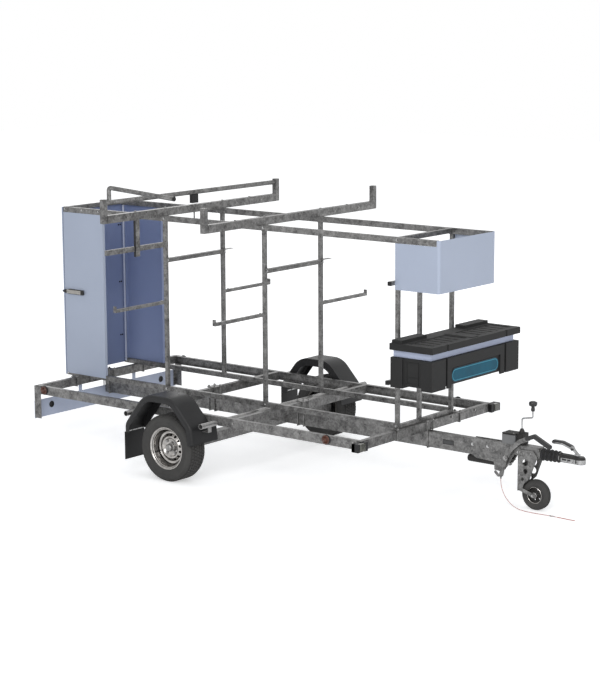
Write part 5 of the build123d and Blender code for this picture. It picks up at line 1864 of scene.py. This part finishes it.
# ---------------------------------------------------------------- rear board and lamps
@dataclass
class Lighting:
    """The rear board with its lamp clusters, and the side and front marker lamps."""

    holes: tuple[Flat, ...] = ((-0.674, 0.340), (0.0, 0.366), (0.674, 0.340))
    hole_radius: float = 0.024
    tab_y: Flat = (0.310, 0.350)
    board_wall: float = 0.003
    cluster_inner: float = 0.560
    lens_pitch: float = 0.080
    lamp_radius: float = 0.0385
    lens_radius: float = 0.0348
    lens_rings: tuple[float, ...] = (0.027, 0.022, 0.017, 0.012)

    def build(self) -> None:
        """Makes the board and every lamp."""
        self.board()
        self.grommets()
        self.clusters()
        self.side_lamps()
        self.front_lamps()

    def board(self) -> None:
        """The blue board with its hanger tabs and cable holes, between two galvanised end plates."""
        low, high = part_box("rear_board")
        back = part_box("rear_lamps")[1][0]
        front = back + self.board_wall
        top = low[2] + 0.150
        end = high[1]
        near, far = self.tab_y
        right = [(-near, top), (-near, high[2]), (-far, high[2]), (-far, top), (-end, top), (-end, low[2])]
        outline = [*right, *[(-y, z) for y, z in reversed(right)]]
        holes = Shape()
        for y, z in self.holes:
            holes.drill(self.hole_radius, 0.01, (front, y, z), "X", 32)
        board = cut(Shape().prism(outline, "X", back, front).object("board_sheet"), holes)
        placed(softened(board, 0.0006), BOARD_BLUE, replaces=("rear_board",))
        wall = 0.004
        bottom = low[2] + 0.008
        rail_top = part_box("side_rails")[1][2]
        plates = Shape()
        for side in (-1, 1):
            plates.block(side, (front, end - wall, bottom), (high[0], end, rail_top))
            plates.block(side, (front, end - 0.030, bottom), (front + wall, end - wall, top))
        placed(softened(plates.object("board_plates"), 0.0012), GALVANISED)

    def grommets(self) -> None:
        """The dark rings in the board's three cable holes."""
        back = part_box("rear_lamps")[1][0]
        wall = self.board_wall
        half = [(0.0195, -wall), (0.027, -wall), (0.027, 0.0), (0.0235, 0.0)]
        section = [*half, *[(radius, wall - along) for radius, along in reversed(half)]]
        rings = Shape()
        for y, z in self.holes:
            rings.ring(section, (back, y, z), "X", 40)
        placed(smoothed(rings.object("grommets"), 40.0), SOFT_RUBBER)

    def clusters(self) -> None:
        """The two rear clusters: a dark tray with two red lenses and an amber one, behind the board."""
        low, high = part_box("rear_lamps")
        trays, amber, red = Shape(), Shape(), Shape()
        front = low[0] + 0.0125
        for side in (-1, 1):
            trays.block(side, (low[0] + 0.012, self.cluster_inner, low[2]), high)
            for k, lens in enumerate((red, red, amber)):
                start = self.cluster_inner + 0.013 + k * self.lens_pitch
                end = start + self.lens_pitch - 0.004
                lens.block(side, (low[0], start, low[2] + 0.008), (front, end, high[2] - 0.008))
        piece = softened(trays.object("cluster_trays"), 0.004)
        placed(piece, GUARD_BLACK, replaces=("rear_lamps",))
        placed(softened(red.object("cluster_red"), 0.005, 3), RED_LENS)
        placed(softened(amber.object("cluster_amber"), 0.005, 3), AMBER)

    def side_lamps(self) -> None:
        """The round amber lamps: a dark rim, a ribbed lens and a domed middle."""
        low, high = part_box("side_lamps")
        rail_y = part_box("side_rails")[1][1]
        rim = self.lamp_radius
        case = [(0.029, 0.0), (rim, 0.0), (rim, 0.009), (rim - 0.003, 0.0115), (0.029, 0.0115)]
        dome = [(self.lens_radius, 0.001), (self.lens_radius, 0.013), (self.lens_radius - 0.0023, 0.0165)]
        for radius in self.lens_rings:
            dome += [(radius + 0.002, 0.0172), (radius, 0.0198), (radius - 0.001, 0.0182)]
        dome.append((0.005, 0.0212))
        rims = Shape()
        lenses = Shape()
        for side in (-1, 1):
            for x in (low[0] + 0.032, high[0] - 0.032):
                centre = (x, side * rail_y, (low[2] + high[2]) / 2)
                rims.ring([(radius, side * out) for radius, out in case], centre, "Y", 48)
                lenses.disc([(radius, side * out) for radius, out in dome], centre, "Y", 48)
        placed(smoothed(rims.object("side_lamp_rims"), 40.0), GUARD_BLACK)
        lens = smoothed(lenses.object("side_lamp_lenses"), 40.0)
        placed(lens, AMBER, replaces=("side_lamps",))

    def front_lamps(self) -> None:
        """The front marker lamps: a rubber foot against the beam, a smoked lens and a dark outer cap."""
        low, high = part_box("front_lamps")
        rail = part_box("side_rails")[1][1]
        inner, middle, outer, tip = rail - 0.042, rail - 0.004, rail + 0.060, rail + 0.080
        rear, front = low[0], high[0]
        feet = Shape()
        lenses = Shape()
        for side in (-1, 1):
            for shape, near, far, x0, x1, inset in (
                (feet, inner, middle + 0.004, rear, front - 0.008, 0.0),
                (lenses, middle, outer, rear, front, 0.004),
                (feet, outer - 0.004, tip, rear - 0.03, front - 0.006, 0.002),
                (feet, rail + 0.0005, tip, rear - 0.03, rear + 0.004, 0.002),
            ):
                shape.block(side, (x0, near, low[2] + inset), (x1, far, high[2] - inset))
        piece = softened(feet.object("marker_feet"), 0.004, 3)
        placed(piece, GUARD_BLACK, replaces=("front_lamps",))
        placed(softened(lenses.object("marker_lenses"), 0.008, 4), SMOKED_LENS)


# ---------------------------------------------------------------- overrun gear and coupling
@dataclass
class Drawgear:
    """The overrun housing, damper, gear case, crank, handbrake lever, bellows, coupling head and handle."""

    coat: NodeCoat
    hardware: Hardware
    damper_radius: float = 0.028
    rod_radius: float = 0.009
    rod_run: Flat = (0.266, 0.348)
    anchor_wall: Flat = (0.0302, 0.0355)
    lid_height: float = 0.009
    crank_axis: float = 0.024
    crank_reach: float = 0.091
    crank_turn: float = 0.014
    crank_radius: float = 0.0058
    knob_rise: float = 0.016
    knob_lobes: int = 8
    lobe_ring: float = 0.0225
    folds: int = 5
    fold_steps: int = 14
    bore: float = 0.0256
    nose_radius: float = 0.0372
    band_half: float = 0.0332
    socket_radius: float = 0.0252
    # Where the painted-shade patches run along the coupling band's sides.
    recess_shade_runs: tuple[Flat, ...] = ((0.010, 0.048), (0.056, 0.084))
    head_bolts: Point = (0.052, 0.092, 0.118)
    housing_bolts: tuple[Flat, ...] = ((0.577, 0.422), (0.443, 0.424), (0.174, 0.418), (0.030, 0.412))

    def build(self) -> None:
        """Makes every piece of the drawgear."""
        self.coat.soften(GALVANISED, "overrun_housing", "galvanised_steel", edge=0.002)
        self.damper()
        self.gear_case()
        self.crank()
        self.knob()
        self.lever()
        self.bellows()
        self.head()
        self.band()
        self.handle()
        self.fixings()

    def damper(self) -> None:
        """The damper's dark body with crimped ends and bands, its bright rod and the anchor plate."""
        low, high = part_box("damper")
        rear, z = low[0], low[2] + self.damper_radius
        radius = self.damper_radius
        waist = radius - 0.002
        body = [
            (0.018, 0.0), (0.024, 0.003), (radius, 0.010), (radius, 0.016), (waist, 0.018), (waist, 0.022),
            (radius, 0.024), (radius, 0.238), (waist, 0.240), (waist, 0.244), (radius, 0.246),
            (radius, 0.256), (0.022, 0.264), (0.013, 0.266),
        ]
        shape = Shape().disc(body, (rear, 0.0, z), "X", 48)
        shape.box((rear + 0.03, -0.020, z), (rear + 0.06, 0.020, high[2]))
        piece = smoothed(shape.object("damper_body"), 40.0)
        placed(piece, DRUM_IRON, replaces=("damper",))
        start, end = self.rod_run
        eye_x = rear + end
        bright = Shape().tube(((rear + start, 0.0, z), (eye_x, 0.0, z)), self.rod_radius, 20)
        eye = [(0.016, 0.020), (0.019, 0.022), (0.019, 0.029), (0.015, 0.031)]
        plate = [
            (-0.115, 0.035), (-0.10, -0.010), (-0.098, -0.052), (-0.045, -0.058), (-0.020, -0.020),
            (0.05, 0.035),
        ]
        anchor = Shape()
        for side in (-1, 1):
            bright.disc([(r, side * out) for r, out in eye], (eye_x, 0.0, z), "Y", 32)
            walls = sorted(side * y for y in self.anchor_wall)
            anchor.prism([(eye_x + x, z + rise) for x, rise in plate], "Y", *walls)
        bright.tube(((eye_x, -0.030, z), (eye_x, 0.030, z)), 0.010, 20)
        placed(smoothed(bright.object("damper_rod"), 40.0), BRIGHT_ZINC)
        placed(softened(anchor.object("damper_anchor"), 0.0015), GALVANISED)

    def gear_case(self) -> None:
        """The grey gear case: rounded box, folded lid with a dark joint, and its bolts."""
        low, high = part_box("winch_box")
        centre = ((low[0] + high[0]) / 2, (low[1] + high[1]) / 2)
        wide, deep, top = high[0] - low[0], high[1] - low[1], high[2]
        seam = top - self.lid_height

        def walled(name: str, growth: float, radius: float, start: float, end: float) -> bpy.types.Object:
            """One part of the case, wider than it by a growth, with rounded corners between two heights."""
            outline = rounded(wide + growth, deep + growth, radius, centre=centre)
            return Shape().prism(outline, "Z", start, end).object(name)

        case = softened(walled("gear_case", 0.0, 0.008, low[2], seam - 0.003), 0.0015, angle=60.0)
        placed(case, GREY_CASE, replaces=("winch_box",))
        placed(walled("gear_joint", -0.004, 0.006, seam - 0.004, seam), SOFT_RUBBER)
        lid = softened(walled("gear_lid", 0.001, 0.0085, seam, top), 0.003, 3, 60.0)
        placed(lid, DRUM_IRON)
        bolts = Seeds()
        for x in (low[0] + 0.02, high[0] - 0.02):
            for side in (-1, 1):
                bolts.dot((x, side * (high[1] - 0.016), top - 0.0003), (0, 0, 1))
        self.hardware.bolts("gear_bolts", bolts, 0.005, BRIGHT_ZINC)

    def crank(self) -> None:
        """The crank: black foot and cone, bright arm with two bends and the sleeve on it."""
        low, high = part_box("crank")
        foot, top = low[2], high[2] + self.knob_rise
        axis_x = low[0] + self.crank_axis
        arm_x = axis_x + self.crank_reach
        plinth = rounded(0.052, 0.086, 0.008, centre=(low[0] + 0.026, 0.009))
        base = Shape().prism(plinth, "Z", foot, foot + 0.084)
        cone = [
            (0.023, 0.0), (0.023, 0.010), (0.019, 0.014), (0.0175, 0.022), (0.012, 0.032), (0.0105, 0.036),
        ]
        base.disc(cone, (axis_x, 0.0, foot + 0.083), "Z", 32)
        placed(softened(base.object("crank_foot"), 0.002, angle=50.0), DRUM_IRON)
        turn = self.crank_turn
        path = [
            (axis_x, foot + 0.118), *arc((axis_x + turn, foot + 0.196 - turn), turn, 180.0, 98.0),
            *arc((arm_x - turn, foot + 0.208 + turn), turn, 278.0, 360.0), (arm_x, top - 0.070),
        ]
        arm = Shape().tube([(x, 0.0, z) for x, z in path], self.crank_radius, 16)
        placed(smoothed(arm.object("crank_arm")), BRIGHT_STEEL, replaces=("crank",))
        sleeve = [
            (0.010, 0.0), (0.013, 0.002), (0.0150, 0.012), (0.0140, 0.020), (0.0125, 0.030), (0.0125, 0.037),
        ]
        grip = Shape().disc(sleeve, (arm_x, 0.0, top - 0.076), "Z", 32)
        placed(smoothed(grip.object("crank_sleeve"), 50.0), BLACK_GLOSS)

    def knob(self) -> None:
        """The crank's fluted knob: lobes round a dome."""
        low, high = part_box("crank")
        x, z = low[0] + self.crank_axis + self.crank_reach, high[2] + self.knob_rise - 0.042
        knob = Shape()
        lobe = [(0.0035, 0.006), (0.0078, 0.0145), (0.0092, 0.026), (0.0072, 0.036)]
        for k in range(self.knob_lobes):
            angle = math.tau * k / self.knob_lobes
            spot = (x + self.lobe_ring * math.cos(angle), self.lobe_ring * math.sin(angle), z)
            knob.disc(lobe, spot, "Z", 16)
        dome = [
            (0.012, 0.0), (0.018, 0.008), (0.0264, 0.0165), (0.0285, 0.0255), (0.0262, 0.035),
            (0.015, 0.0415),
        ]
        knob.disc(dome, (x, 0.0, z), "Z", 48)
        placed(smoothed(knob.object("crank_knob"), 50.0), BLACK_GLOSS)

    def lever(self) -> None:
        """The flat handbrake lever, its pivot bolt and washer, and the moulded grip."""
        self.coat.soften(GALVANISED, "brake_lever", "galvanised_steel", edge=0.0018)
        low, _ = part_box("brake_lever")
        x, z = low[0] + 0.101, low[2] + 0.162
        washer = Shape().disc([(0.019, -0.0035), (0.019, 0.001), (0.008, 0.001)], (x, low[1], z), "Y", 32)
        placed(smoothed(washer.object("lever_washer"), 40.0), BRIGHT_ZINC)
        seeds = Seeds()
        seeds.dot((x, low[1] - 0.0034, z), (0, -1, 0))
        self.hardware.bolts("lever_bolt", seeds, 0.010, BRIGHT_ZINC)
        grip = softened(Shape().copied("brake_grip").object("lever_grip"), 0.006, 4)
        placed(grip, BLACK_GLOSS, replaces=("brake_grip",))

    def bellows(self) -> None:
        """The rubber bellows: deep rounded folds between two plain collars with steel bands."""
        low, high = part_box("bellows")
        z, radius, length = (low[2] + high[2]) / 2, (high[2] - low[2]) / 2, high[0] - low[0]
        steps = self.fold_steps * self.folds
        profile = [(self.bore, 0.0), (radius - 0.012, 0.0)]
        for k in range(steps + 1):
            share = k / steps
            wave = 0.5 - 0.5 * math.cos(math.tau * self.folds * share)
            reach = (radius - 0.0145 + 0.0143 * wave ** 0.8) * (1.0 - 0.10 * share)
            profile.append((reach, 0.004 + (length - 0.012) * share))
        profile += [(radius - 0.016, length), (self.bore, length)]
        piece = smoothed(Shape().ring(profile, (low[0], 0.0, z), "X", 64).object("bellows_folds"), 60.0)
        placed(piece, SOFT_RUBBER, replaces=("bellows",))
        bands = Shape()
        for place, reach in ((0.004, radius - 0.0085), (length - 0.0105, radius - 0.0125)):
            section = mirrored([(reach - 0.004, -0.003), (reach, -0.003)])
            bands.ring(section, (low[0] + place, 0.0, z), "X", 64)
        placed(smoothed(bands.object("bellows_bands"), 40.0), BRIGHT_ZINC)

    def ball(self) -> Point:
        """The middle of the coupling's ball, at the height of the bellows' axis."""
        low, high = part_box("bellows")
        return (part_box("coupling_head")[1][0] - self.nose_radius, 0.0, (low[2] + high[2]) / 2)

    def head(self) -> None:
        """The coupling head's dark tapering body."""
        low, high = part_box("coupling_head")
        x, _, z = self.ball()
        rows = []
        for place, half, bottom, top in (
            (low[0], 0.024, -0.026, 0.026), (low[0] + 0.030, 0.031, -0.029, 0.032),
            (x - 0.035, 0.0318, -0.030, 0.026), (x, 0.0368, -0.030, 0.022),
            (x + 0.018, 0.0320, -0.029, 0.020), (x + 0.030, 0.0210, -0.027, 0.017),
            (high[0] - 0.001, 0.0080, -0.022, 0.012),
        ):
            centre = (0.0, z + (bottom + top) / 2)
            loop = rounded(2 * half, top - bottom, min(0.008, 0.9 * half), 4, centre)
            rows.append([(place, *point) for point in loop])
        body = smoothed(Shape().loft(rows).object("coupling_body"), 40.0)
        placed(body, DRUM_IRON, replaces=("coupling_head",))

    def band(self) -> None:
        """The coupling's silver band round the ball's socket, with black patches on its sides that are
        painted shade of recesses, a top pad and bolts.
        """
        x, _, z = self.ball()
        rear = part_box("bellows")[1][0] + 0.004
        half, reach, hollow = self.band_half, self.nose_radius + 0.001, self.socket_radius
        turn = 180.0 - math.degrees(math.asin(half / reach))
        outline = [(rear, -half), *arc((x, 0.0), reach, -turn, turn, 32), (rear, half)]
        band = Shape().prism(outline, "Z", z - 0.0290, z + 0.006).object("coupling_band")
        bowl = [(hollow * math.cos(a), hollow * math.sin(a)) for a in (0.0, 0.5, 1.0, 1.4)]
        tool = Shape().disc([(hollow, -0.03), *bowl], (x, 0.0, z - 0.010), "Z", 48)
        placed(softened(cut(band, tool), 0.003, 3, 50.0), HEAD_SILVER)
        cap_and_shades = Shape()
        bolts = Seeds()
        for side in (-1, 1):
            walls = sorted((side * half, side * (half + 0.0012)))
            # Thin black patches stand proud on the band's sides as painted shade of its recesses.
            for start, end in self.recess_shade_runs:
                recess_shade = rounded(end - start, 0.013, 0.005, centre=(rear + (start + end) / 2, z - 0.006))
                cap_and_shades.prism(recess_shade, "Y", *walls)
            for start in self.head_bolts:
                bolts.dot((rear + start, side * half, z - 0.016), (0, side, 0))
        cap = [(0.030, -0.004), (0.030, 0.001), (0.027, 0.005), (0.014, 0.0065)]
        cap_and_shades.disc(cap, (x, 0.0, z + 0.022), "Z", 40)
        placed(softened(cap_and_shades.object("coupling_cap_and_shade"), 0.0006), BLACK_GLOSS)
        self.hardware.bolts("coupling_bolts", bolts, 0.0045, BRIGHT_STEEL)

    def handle(self) -> None:
        """The release handle: a silver channel under a black pad, with a dark pivot."""
        low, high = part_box("coupling_handle")
        rear, top = low[0], high[2]
        skin = softened(Shape().copied("coupling_handle").object("handle_skin"), 0.0035, 3)
        placed(skin, HEAD_SILVER, replaces=("coupling_handle",))
        run = [(rear + 0.010, top - 0.005), (rear + 0.087, top - 0.005), (rear + 0.160, top - 0.028)]
        pad = Shape().loft(swept(bent(run, (0.03,)), rounded(0.035, 0.016, 0.006, 4)))
        placed(smoothed(pad.object("handle_pad"), 50.0), BLACK_GLOSS)
        pivot = Shape().drill(0.010, 0.018, (rear + 0.168, 0.0, top - 0.046))
        placed(smoothed(pivot.object("handle_pivot")), BLACK_GLOSS)

    def fixings(self) -> None:
        """The housing's bolts and the blank label plate on the spine."""
        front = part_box("overrun_housing")[1][0]
        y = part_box("spine")[0][1]
        bolts = Seeds()
        for side in (-1, 1):
            for back, z in self.housing_bolts:
                bolts.dot((front - back, side * 0.0381, z), (0, side, 0))
        self.hardware.bolts("housing_bolts", bolts, 0.0095, BRIGHT_STEEL)
        plate = Shape().box((front - 0.852, y - 0.0014, 0.384), (front - 0.752, y + 0.0002, 0.420))
        placed(softened(plate.object("label_plate"), 0.0004), DRUM_IRON)
        blank = Shape().box((front - 0.848, y - 0.0020, 0.388), (front - 0.756, y - 0.0012, 0.416))
        placed(blank.object("label_field"), LABEL_GREY)


# ---------------------------------------------------------------- jockey wheel
@dataclass
class Jockey:
    """The jockey wheel: perforated swing frame, solid tyre with grooves and a webbed rim."""

    hardware: Hardware
    outline: tuple[Flat, ...] = (
        (0.0, 0.446), (0.130, 0.446), (0.166, 0.402), (0.104, 0.236), (0.060, 0.196), (0.032, 0.140),
        (0.0, 0.132),
    )
    grooves: Point = (0.014, 0.0, -0.014)
    groove_depth: float = 0.0035
    web_holes: int = 6
    fork_in: float = 0.044
    fork_wall: float = 0.006
    arm_width: float = 0.028
    arm_inset: float = 0.0003
    arm_top: Flat = (0.016, 0.150)
    pin_hole: Point = (0.028, 0.410, 0.0081)
    near_openings: tuple[Point, ...] = ((0.064, 0.352, 0.024), (0.066, 0.286, 0.018), (0.042, 0.226, 0.013))
    far_openings: tuple[Point, ...] = ((0.074, 0.346, 0.032), (0.076, 0.279, 0.025), (0.044, 0.222, 0.016))
    rivets: tuple[Flat, ...] = ((0.018, 0.425), (0.112, 0.425), (0.016, 0.252))

    def build(self) -> None:
        """Makes the frame, the tyre and the rim."""
        low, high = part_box("jockey_tyre")
        self.centre = tuple((a + b) / 2 for a, b in zip(low, high))
        self.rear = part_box("jockey_frame")[0][0]
        self.plates()
        self.web()
        self.tyre((high[2] - low[2]) / 2)
        self.rim()
        self.fixings()

    def plates(self) -> None:
        """The swing frame's two holed plates, the far one's holes wider, each with its fork arm."""
        rear = self.rear
        x, _, z = self.centre
        start = Vector(self.arm_top)
        end = Vector((x - rear, z))
        across = (end - start).normalized().orthogonal() * self.arm_width / 2
        corners = (start + across, start - across, end - across, end + across)
        arm = [(rear + corner.x, corner.y) for corner in corners]
        for side, openings in ((-1, self.near_openings), (1, self.far_openings)):
            y0, y1 = sorted((side * self.fork_in, side * (self.fork_in + self.fork_wall)))
            shape = Shape().prism([(rear + along, height) for along, height in self.outline], "Y", y0, y1)
            holes = Shape()
            for along, height, radius in (*openings, self.pin_hole):
                holes.drill(radius, 0.02, (rear + along, side * self.fork_in, height), steps=40)
            plate = softened(cut(shape.object(f"jockey_plate_{side}"), holes), 0.0014)
            nodes = ("jockey_frame",) if side < 0 else ()
            placed(plate, GALVANISED, "jockey_leg", nodes)
            y0, y1 = y0 + self.arm_inset, y1 - self.arm_inset
            strip = Shape().prism(arm, "Y", y0, y1)
            strip.disc([(0.018, 0.0), (0.018, y1 - y0)], (x, y0, z), "Y", 40)
            piece = softened(strip.object(f"jockey_arm_{side}"), 0.0012)
            placed(piece, GALVANISED, "jockey_leg")

    def web(self) -> None:
        """The frame's rear web and the wheel's axle."""
        half = self.fork_in + 0.001
        web = Shape().box((self.rear, -half, 0.132), (self.rear + 0.005, half, 0.330))
        placed(softened(web.object("jockey_web_plate"), 0.0012), GALVANISED, "jockey_leg")
        pin = Shape().drill(0.010, self.fork_in + self.fork_wall + 0.005, self.centre)
        placed(smoothed(pin.object("jockey_axle")), BRIGHT_ZINC, "jockey_leg")

    def turned(self, name: str, profile: Sequence[Flat], steps: int = 96) -> bpy.types.Object:
        """A closed profile turned about the wheel's axle."""
        return Shape().ring(profile, self.centre, "Y", steps).object(name)

    def tyre(self, radius: float) -> None:
        """The solid tyre with a crowned tread and three grooves.

        Args:
            radius: Its outer radius.
        """
        half = [
            (0.0621, 0.028), (0.066, 0.031), (0.078, 0.0345), (0.082, 0.0362), (0.088, 0.0366),
            (0.096, 0.0342), (0.103, 0.030), (0.108, 0.0245), (radius - 0.0022, 0.018),
        ]
        crown, floor = radius - 0.0002, radius - self.groove_depth
        tread = []
        for y in self.grooves:
            tread += [(crown, y + 0.0022), (floor, y + 0.0012), (floor, y - 0.0012), (crown, y - 0.0022)]
        other = [(r, -y) for r, y in reversed(half)]
        piece = smoothed(self.turned("jockey_tyre_skin", [*half, *tread, *other]))
        placed(piece, TYRE_RUBBER, "jockey_wheel", ("jockey_tyre",))

    def rim(self) -> None:
        """The rim: a stepped barrel, a web with round holes and a hub with a bright bush."""
        barrel = [(0.0619, 0.030), (0.0600, 0.0312), (0.0575, 0.0300), (0.0560, 0.024), (0.0545, 0.010)]
        piece = smoothed(self.turned("jockey_barrel", mirrored(barrel)), 50.0)
        placed(piece, WHEEL_SILVER, "jockey_wheel", ("jockey_rim",))
        web = [
            (0.0200, 0.008), (0.026, 0.0065), (0.030, 0.004), (0.045, 0.004), (0.050, 0.0065),
            (0.0548, 0.0085),
        ]
        holes = Shape()
        for spot, _ in around(self.centre, 0.0385, self.web_holes, 0.0, 15.0):
            holes.drill(0.0062, 0.02, spot, steps=20)
        disc = smoothed(cut(self.turned("jockey_web", mirrored(web)), holes), 40.0)
        placed(disc, DRUM_IRON, "jockey_wheel")
        hub = [(0.0102, -0.0378), (0.0170, -0.0378), (0.0215, -0.035), (0.0220, -0.012), (0.0245, -0.007)]
        piece = smoothed(self.turned("jockey_hub", mirrored(hub), 64), 50.0)
        placed(piece, BRIGHT_ZINC, "jockey_wheel")

    def fixings(self) -> None:
        """The axle's nuts and the frame's rivets."""
        nuts = Seeds()
        rivets = Seeds()
        for side in (-1, 1):
            nuts.dot((self.centre[0], side * 0.0549, self.centre[2]), (0, side, 0))
            for along, z in self.rivets:
                rivets.dot((self.rear + along, side * 0.0500, z), (0, side, 0))
        self.hardware.bolts("jockey_nuts", nuts, 0.0095, BRIGHT_ZINC, "jockey_leg")
        self.hardware.bolts("jockey_rivets", rivets, 0.0052, BRIGHT_ZINC, "jockey_leg")


# ---------------------------------------------------------------- chassis and rack
@dataclass
class Framework:
    """The chassis and rack: softened tubes, nuts on the U-bolts, joint bolts, weld beads and end caps."""

    coat: NodeCoat
    hardware: Hardware
    galvanised: tuple[str, ...] = (
        "spine", "cross_beams", "side_rails", "clamps", "axle", "rack_posts", "low_rails", "top_rails",
        "rack_laterals", "angle_bars", "front_bars", "side_arms", "hanger", "roof_beams",
    )
    post: float = 0.030
    beam_half: float = 0.020
    roof_half: float = 0.025
    middle_beams: Flat = (1.210, 2.147)
    clamp_half: Flat = (0.030, 0.035)
    post_nut: float = 0.411
    front_bolts: Flat = (0.30, 0.62)
    proud: float = 0.0001
    strap_right: float = 0.722
    # Width and thickness of the black strip on the hanger's strap, which is painted shade.
    strap_shade_strip: Flat = (0.022, 0.0018)

    def build(self) -> None:
        """Makes the skins and everything that joins them."""
        for name in self.galvanised:
            self.coat.soften(GALVANISED, name, "galvanised_steel")
        self.coat.soften(BRIGHT_ZINC, "guard_tubes", "bright_steel")
        self.coat.soften(BOX_BLACK, "bar_caps", "black_plastic")
        low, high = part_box("roof_beams")
        self.roof_places = [low[0] + self.roof_half, high[0] - self.roof_half]
        low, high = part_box("rack_posts")
        self.post_places = [low[0] + self.post / 2, *self.roof_places, high[0] - self.post / 2]
        self.posts()
        self.nuts()
        self.bolts()
        self.strap_shade()
        self.welds()

    def posts(self) -> None:
        """Bolts where rails, arms and laterals meet the posts."""
        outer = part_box("rack_posts")[1][1]
        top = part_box("top_rails")[1][2]
        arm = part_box("side_arms")[0][2]
        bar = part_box("angle_bars")[1][2]
        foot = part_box("low_rails")
        heads = Seeds()
        for k, x in enumerate(self.post_places):
            for side in (-1, 1):
                face = side * (outer + self.proud)
                if k:
                    heads.dot((x, face, top - 0.022), (0, side, 0))
                heads.dot((x, face, (foot[0][2] + foot[1][2]) / 2), (0, side, 0))
                if k in (1, 2):
                    heads.dot((x + 0.0192, side * (outer - self.post / 2), bar - 0.020), (1, 0, 0))
                    heads.dot((x, side * (outer + 0.045), arm + 0.0251), (0, 0, 1))
        self.hardware.bolts("post_bolts", heads, 0.0078, BRIGHT_STEEL)

    def nuts(self) -> None:
        """Nuts of the U-bolts on the cross beams and the axle."""
        low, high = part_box("cross_beams")
        deck = high[2] + 0.006
        rear_x, front_x = low[0] + self.beam_half, high[0] - self.beam_half
        along, across = self.clamp_half
        nuts = Seeds()
        for x in (rear_x, *[rear_x + place for place in self.middle_beams]):
            for dx in (-along, along):
                for y in (-across, across):
                    nuts.dot((x + dx, y, deck), (0, 0, 1))
        for y in (-across, across):
            nuts.dot((front_x + along, y, deck), (0, 0, 1))
        for x in (rear_x, front_x):
            for dx in (-0.025, 0.025):
                for side in (-1, 1):
                    nuts.dot((x + dx, side * self.post_nut, deck), (0, 0, 1))
        self.hardware.bolts("clamp_nuts", nuts, 0.0088, BRIGHT_ZINC)

    def bolts(self) -> None:
        """Bolts through the rails into the ends of the cross beams, and on the front beam's face."""
        low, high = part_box("side_rails")
        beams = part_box("cross_beams")
        rear_x = beams[0][0] + self.beam_half
        front_face = beams[1][0] + self.proud
        bolts = Seeds()
        for side in (-1, 1):
            face = side * (high[1] + self.proud)
            for x in (low[0] + 0.03, high[0] - 0.03):
                for z in (low[2] + 0.02, high[2] - 0.02):
                    bolts.dot((x, face, z), (0, side, 0))
            for place in self.middle_beams:
                bolts.dot((rear_x + place, face, (low[2] + high[2]) / 2), (0, side, 0))
            for y in self.front_bolts:
                bolts.dot((front_face, side * y, beams[0][2] + 0.052), (1, 0, 0))
        self.hardware.bolts("beam_end_bolts", bolts, 0.0088, BRIGHT_ZINC)

    def strap_shade(self) -> None:
        """A thin black strip down the right side of the hanger's strap: painted shade on the leg of its angle
        section that lies in shade.
        """
        low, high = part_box("hanger")
        front = high[0] + 0.003
        wide, wall = self.strap_shade_strip
        edge = Shape().box(
            (front - wide, -self.strap_right - wall, low[2]), (front, -self.strap_right, high[2] - 0.006)
        )
        placed(edge.object("hanger_painted_shade"), SOFT_RUBBER)

    def welds(self) -> None:
        """Weld beads round the posts' feet, the rails' ends, the axle's saddle and the roof stubs."""
        lines = Seeds()
        half = self.post / 2
        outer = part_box("rack_posts")[1][1]
        inner = outer - self.post
        corners = [(-half, inner), (half, inner), (half, outer), (-half, outer)]
        for x in self.post_places:
            for side in (-1, 1):
                for z in (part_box("low_rails")[1][2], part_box("top_rails")[0][2]):
                    lines.line([(x + dx, side * y, z) for dx, y in corners], closed=True)
        beams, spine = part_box("roof_beams"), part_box("spine")
        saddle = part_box("axle")[1][0] - 0.075
        seams = [(x, beams[1][1] - 0.045, beams[0][2] + 0.0625, 0.020) for x in self.roof_places]
        seams.append((saddle, spine[1][1], spine[0][2] + 0.0005, 0.055))
        for x, y, z, reach in seams:
            for side in (-1, 1):
                lines.line([(x - reach, side * y, z), (x + reach, side * y, z)])
        self.hardware.beads("weld_beads", lines, 0.0028, GALVANISED)


def main() -> None:
    """Builds the studio and every sub-assembly, in order."""
    logging.basicConfig(level=logging.INFO, format="%(message)s")
    coat = NodeCoat()
    hardware = Hardware()
    tread = TreadTree()
    Studio().build()
    Framework(coat, hardware).build()
    for side in Side:
        RoadWheel(side, tread, hardware).build()
    Mudguards(hardware).build()
    Cabinet(coat, hardware).build()
    RoofGear(hardware).build()
    Toolbox(coat).build()
    Lighting().build()
    Drawgear(coat, hardware).build()
    Jockey(hardware).build()
    BreakawayCable().build()
    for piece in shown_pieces():
        log.info("%s: %d polygons", piece.name, len(piece.data.polygons) if piece.type == "MESH" else 0)


if __name__ == "__main__":
    main()
